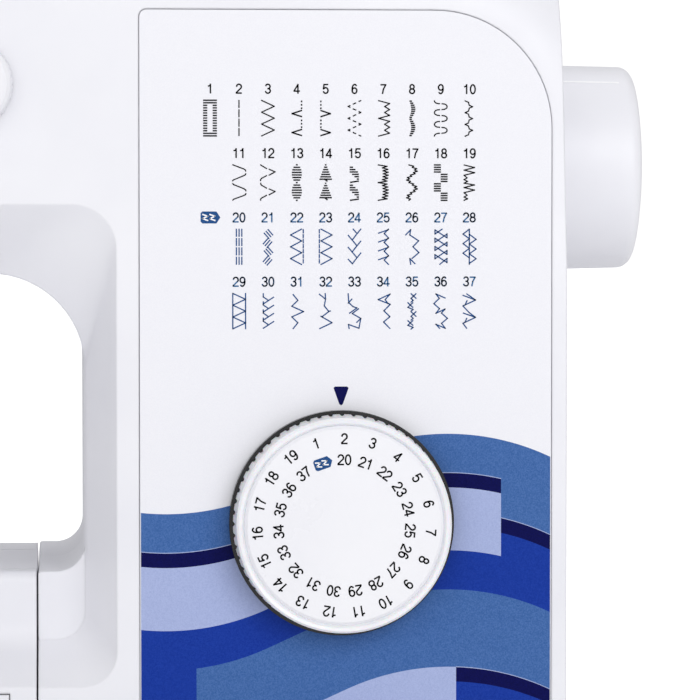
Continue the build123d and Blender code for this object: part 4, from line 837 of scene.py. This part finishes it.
def wave_band(ink, left, right, upper, lower):
    """The part of the artwork between two depths below the wave's edge."""
    steps = max(2, round(WAVE_STEPS * (right - left) / (panel_high.x - panel_low.x)))
    columns = []
    for k in range(steps + 1):
        x = left + (right - left) * k / steps
        top = wave(x) - upper
        low = max(wave(x) - lower, panel_floor(x))
        if top - low > 0.01:
            columns.append((x, top, low))
    if len(columns) > 1:
        ink.band(columns)


def print_waves():
    """Blue bands that follow one wave, stepped at a few upright lines."""
    left, right = panel_low.x + PANEL_EDGE, panel_high.x - PANEL_EDGE
    bands = {
        "steel": [
            (left, STEP_RIGHT, 0, STEEL_TO),
            (STEP_RIGHT, right, 0, OUTER_STEEL_TO),
            (STEP_LEFT, right, ROYAL_TO, LOW_STEEL_TO),
        ],
        "navy": [
            (left, STEP_RIGHT, STEEL_TO, NAVY_TO),
            (STEP_RIGHT, right, OUTER_STEEL_TO, OUTER_NAVY_TO),
            (STEP_LOW, right, LOW_STEEL_TO, LOW_NAVY_TO),
        ],
        "lavender": [
            (left, STEP_RIGHT, NAVY_TO, LAVENDER_TO),
            (STEP_LEFT, STEP_LOW, LOW_STEEL_TO, PANEL_DEPTH),
        ],
        "royal": [
            (left, STEP_RIGHT, LAVENDER_TO, ROYAL_TO),
            (STEP_RIGHT, right, OUTER_NAVY_TO, ROYAL_TO),
            (left, STEP_LEFT, ROYAL_TO, PANEL_DEPTH),
            (STEP_LOW, right, LOW_NAVY_TO, PANEL_DEPTH),
        ],
    }
    for colour, stretches in bands.items():
        ink = Print(f"wave_{colour}", f"ink_{colour}", on_front(FRONT))
        for x0, x1, upper, lower in stretches:
            wave_band(ink, x0, x1, upper, lower)
        ink.build("root", "panel_white")
    hairline = Print("wave_hairlines", "ink_lavender", on_front(FRONT), layer=1.4)
    for x0, x1, upper, lower in bands["navy"]:
        wave_band(hairline, x0, x1, upper - HAIRLINE[0], upper + HAIRLINE[1])
    hairline.build("root", "panel_white")


print_waves()

# ------------------------------------------------------------------ dial

DIAL_STEP = 360 / 19
OUTER_R = 29.8
INNER_R = 22.6
DIAL_NUMERAL = 3.55
DIAL_TAG = 3.9
POINTER_UP = 46.9         # the pointer's top, from the dial's middle
POINTER_HALF = 2.6
POINTER_DROP = 6.5
POINTER_CORNER = 0.5
POINTER_TIP = (0.6, 0.4)  # the blunt tip's half width and height


def around(centre, radius, turn):
    """A point on a circle, from the top and clockwise."""
    angle = math.radians(turn)
    return centre.x + radius * math.sin(angle), centre.z + radius * math.cos(angle)


def print_dial():
    """Two rings of stitch numbers on the pattern dial, and the pointer above it."""
    face = on_front(DIAL_FACE)
    black = Print("dial_outer_numbers", "ink_black", face)
    inner = Print("dial_inner_numbers", "ink_black", face)
    tag = Print("dial_tag", "ink_blue", face)
    marks = Print("dial_tag_marks", "ink_white", face, layer=1.4)
    for number in range(FIRST_UTILITY, FIRST_STRETCH):
        turn = (number - 2) * DIAL_STEP
        black.number(number, *around(dial_centre, OUTER_R, turn), DIAL_NUMERAL, turn)
    for number in range(FIRST_STRETCH, LAST_STITCH + 1):
        turn = (number - FIRST_STRETCH) * DIAL_STEP
        inner.number(number, *around(dial_centre, INNER_R, turn), DIAL_NUMERAL, turn)
    draw_tag(tag, marks, *around(dial_centre, INNER_R, -DIAL_STEP), DIAL_TAG, -DIAL_STEP)
    for ink in (black, inner, tag, marks):
        ink.build("pattern_dial", "dial_white")

    pointer = Print("dial_pointer", "ink_navy", on_front(FRONT))
    middle, top = dial_centre.x, dial_centre.z + POINTER_UP
    blunt, rise = POINTER_TIP
    pointer.shape([
        (middle - POINTER_HALF + POINTER_CORNER, top),
        (middle - POINTER_HALF, top - POINTER_CORNER),
        (middle - blunt, top - POINTER_DROP + rise),
        (middle, top - POINTER_DROP),
        (middle + blunt, top - POINTER_DROP + rise),
        (middle + POINTER_HALF, top - POINTER_CORNER),
        (middle + POINTER_HALF - POINTER_CORNER, top),
    ])
    pointer.build("root", "panel_white")


print_dial()

# ------------------------------------------------------------------ handwheel mark

MARK_TURN = math.radians(55.5)
MARK_FROM_FACE = 10.0
MARK_LENGTH = 20.0
MARK_WIDTH = 0.9
RIM_DEPTH = 34.5          # the rim's inner edge, from the wheel's face
RIM_TAPER = 0.0223


def print_wheel_mark():
    """A thin line along the handwheel's rim, which shows where the needle is."""
    low, high = corners("handwheel")
    radius = (high.z - low.z) / 2
    rim = on_rim((low + high) / 2, high.x - RIM_DEPTH, radius, RIM_TAPER, MARK_TURN)
    line = Print("handwheel_mark", "ink_white", rim)
    end = high.x - MARK_FROM_FACE
    line.stroke([(end - MARK_LENGTH, 0), (end, 0)], MARK_WIDTH)
    line.build("main_shaft", "knob_white")


print_wheel_mark()

# ------------------------------------------------------------------ studio


FLOOR_R = 14.0            # metres, as are the studio's other lengths
GLOW_FROM = 0.12          # the floor starts to brighten this far out
GLOW_FULL = 0.45
GLOW = 0.8
UNSEEN_GLOW = 0.12        # the share of the glow that lights the machine


def make_floor():
    """A wide pale floor that brightens away from the machine."""
    mesh = bmesh.new()
    bmesh.ops.create_circle(mesh, cap_ends=True, segments=96, radius=FLOOR_R)
    data = bpy.data.meshes.new("floor")
    mesh.to_mesh(data)
    mesh.free()
    floor = bpy.data.objects.new("floor", data)
    bpy.context.collection.objects.link(floor)
    finish = Finish("floor", edge=0, Roughness=0.9)
    finish.surface.inputs["Base Color"].default_value = (0.86, 0.86, 0.87, 1)
    distance = finish.node("ShaderNodeVectorMath")
    distance.operation = "LENGTH"
    finish.link(finish.place, distance.inputs[0])
    glow = finish.node("ShaderNodeMapRange")
    glow.inputs["From Min"].default_value = GLOW_FROM
    glow.inputs["From Max"].default_value = GLOW_FULL
    glow.inputs["To Max"].default_value = GLOW
    finish.link(distance.outputs["Value"], glow.inputs["Value"])
    seen = finish.node("ShaderNodeLightPath")
    share = finish.node("ShaderNodeMapRange")
    share.inputs["To Min"].default_value = UNSEEN_GLOW
    finish.link(seen.outputs["Is Camera Ray"], share.inputs["Value"])
    strength = finish.node("ShaderNodeMath")
    strength.operation = "MULTIPLY"
    finish.link(glow.outputs["Result"], strength.inputs[0])
    finish.link(share.outputs["Result"], strength.inputs[1])
    finish.surface.inputs["Emission Color"].default_value = (1, 1, 1, 1)
    finish.link(strength.outputs["Value"], finish.surface.inputs["Emission Strength"])
    floor.data.materials.append(finish.done())


def soft_light(name, place, towards, size, power):
    """A square softbox."""
    data = bpy.data.lights.new(name, "AREA")
    data.shape = "SQUARE"
    data.size = size
    data.energy = power
    light = bpy.data.objects.new(name, data)
    light.location = place
    light.rotation_euler = (Vector(towards) - Vector(place)).to_track_quat("-Z", "Y").to_euler()
    bpy.context.collection.objects.link(light)


def make_world():
    """Even white light, seen as a white background."""
    world = bpy.data.worlds.new("studio")
    bpy.context.scene.world = world
    world.use_nodes = True
    nodes, links = world.node_tree.nodes, world.node_tree.links
    background = nodes["Background"]
    background.inputs["Color"].default_value = (1, 1, 1, 1)
    path = nodes.new("ShaderNodeLightPath")
    strength = nodes.new("ShaderNodeMapRange")
    strength.inputs["To Min"].default_value = 0.58
    strength.inputs["To Max"].default_value = 1.05
    links.new(path.outputs["Is Camera Ray"], strength.inputs["Value"])
    links.new(strength.outputs["Result"], background.inputs["Strength"])


make_floor()
make_world()
soft_light("key", (0.9, -2.1, 1.0), (0.05, 0, 0.15), 1.2, 18)
soft_light("fill", (-0.9, -2.2, 0.9), (0, 0, 0.15), 1.2, 6)
soft_light("top", (0.1, 0.5, 1.9), (0, 0, 0.2), 1.4, 6)
soft_light("side", (-2.2, -0.9, 0.4), (0, 0, 0.15), 1.0, 3)
bpy.context.scene.view_settings.view_transform = "Standard"
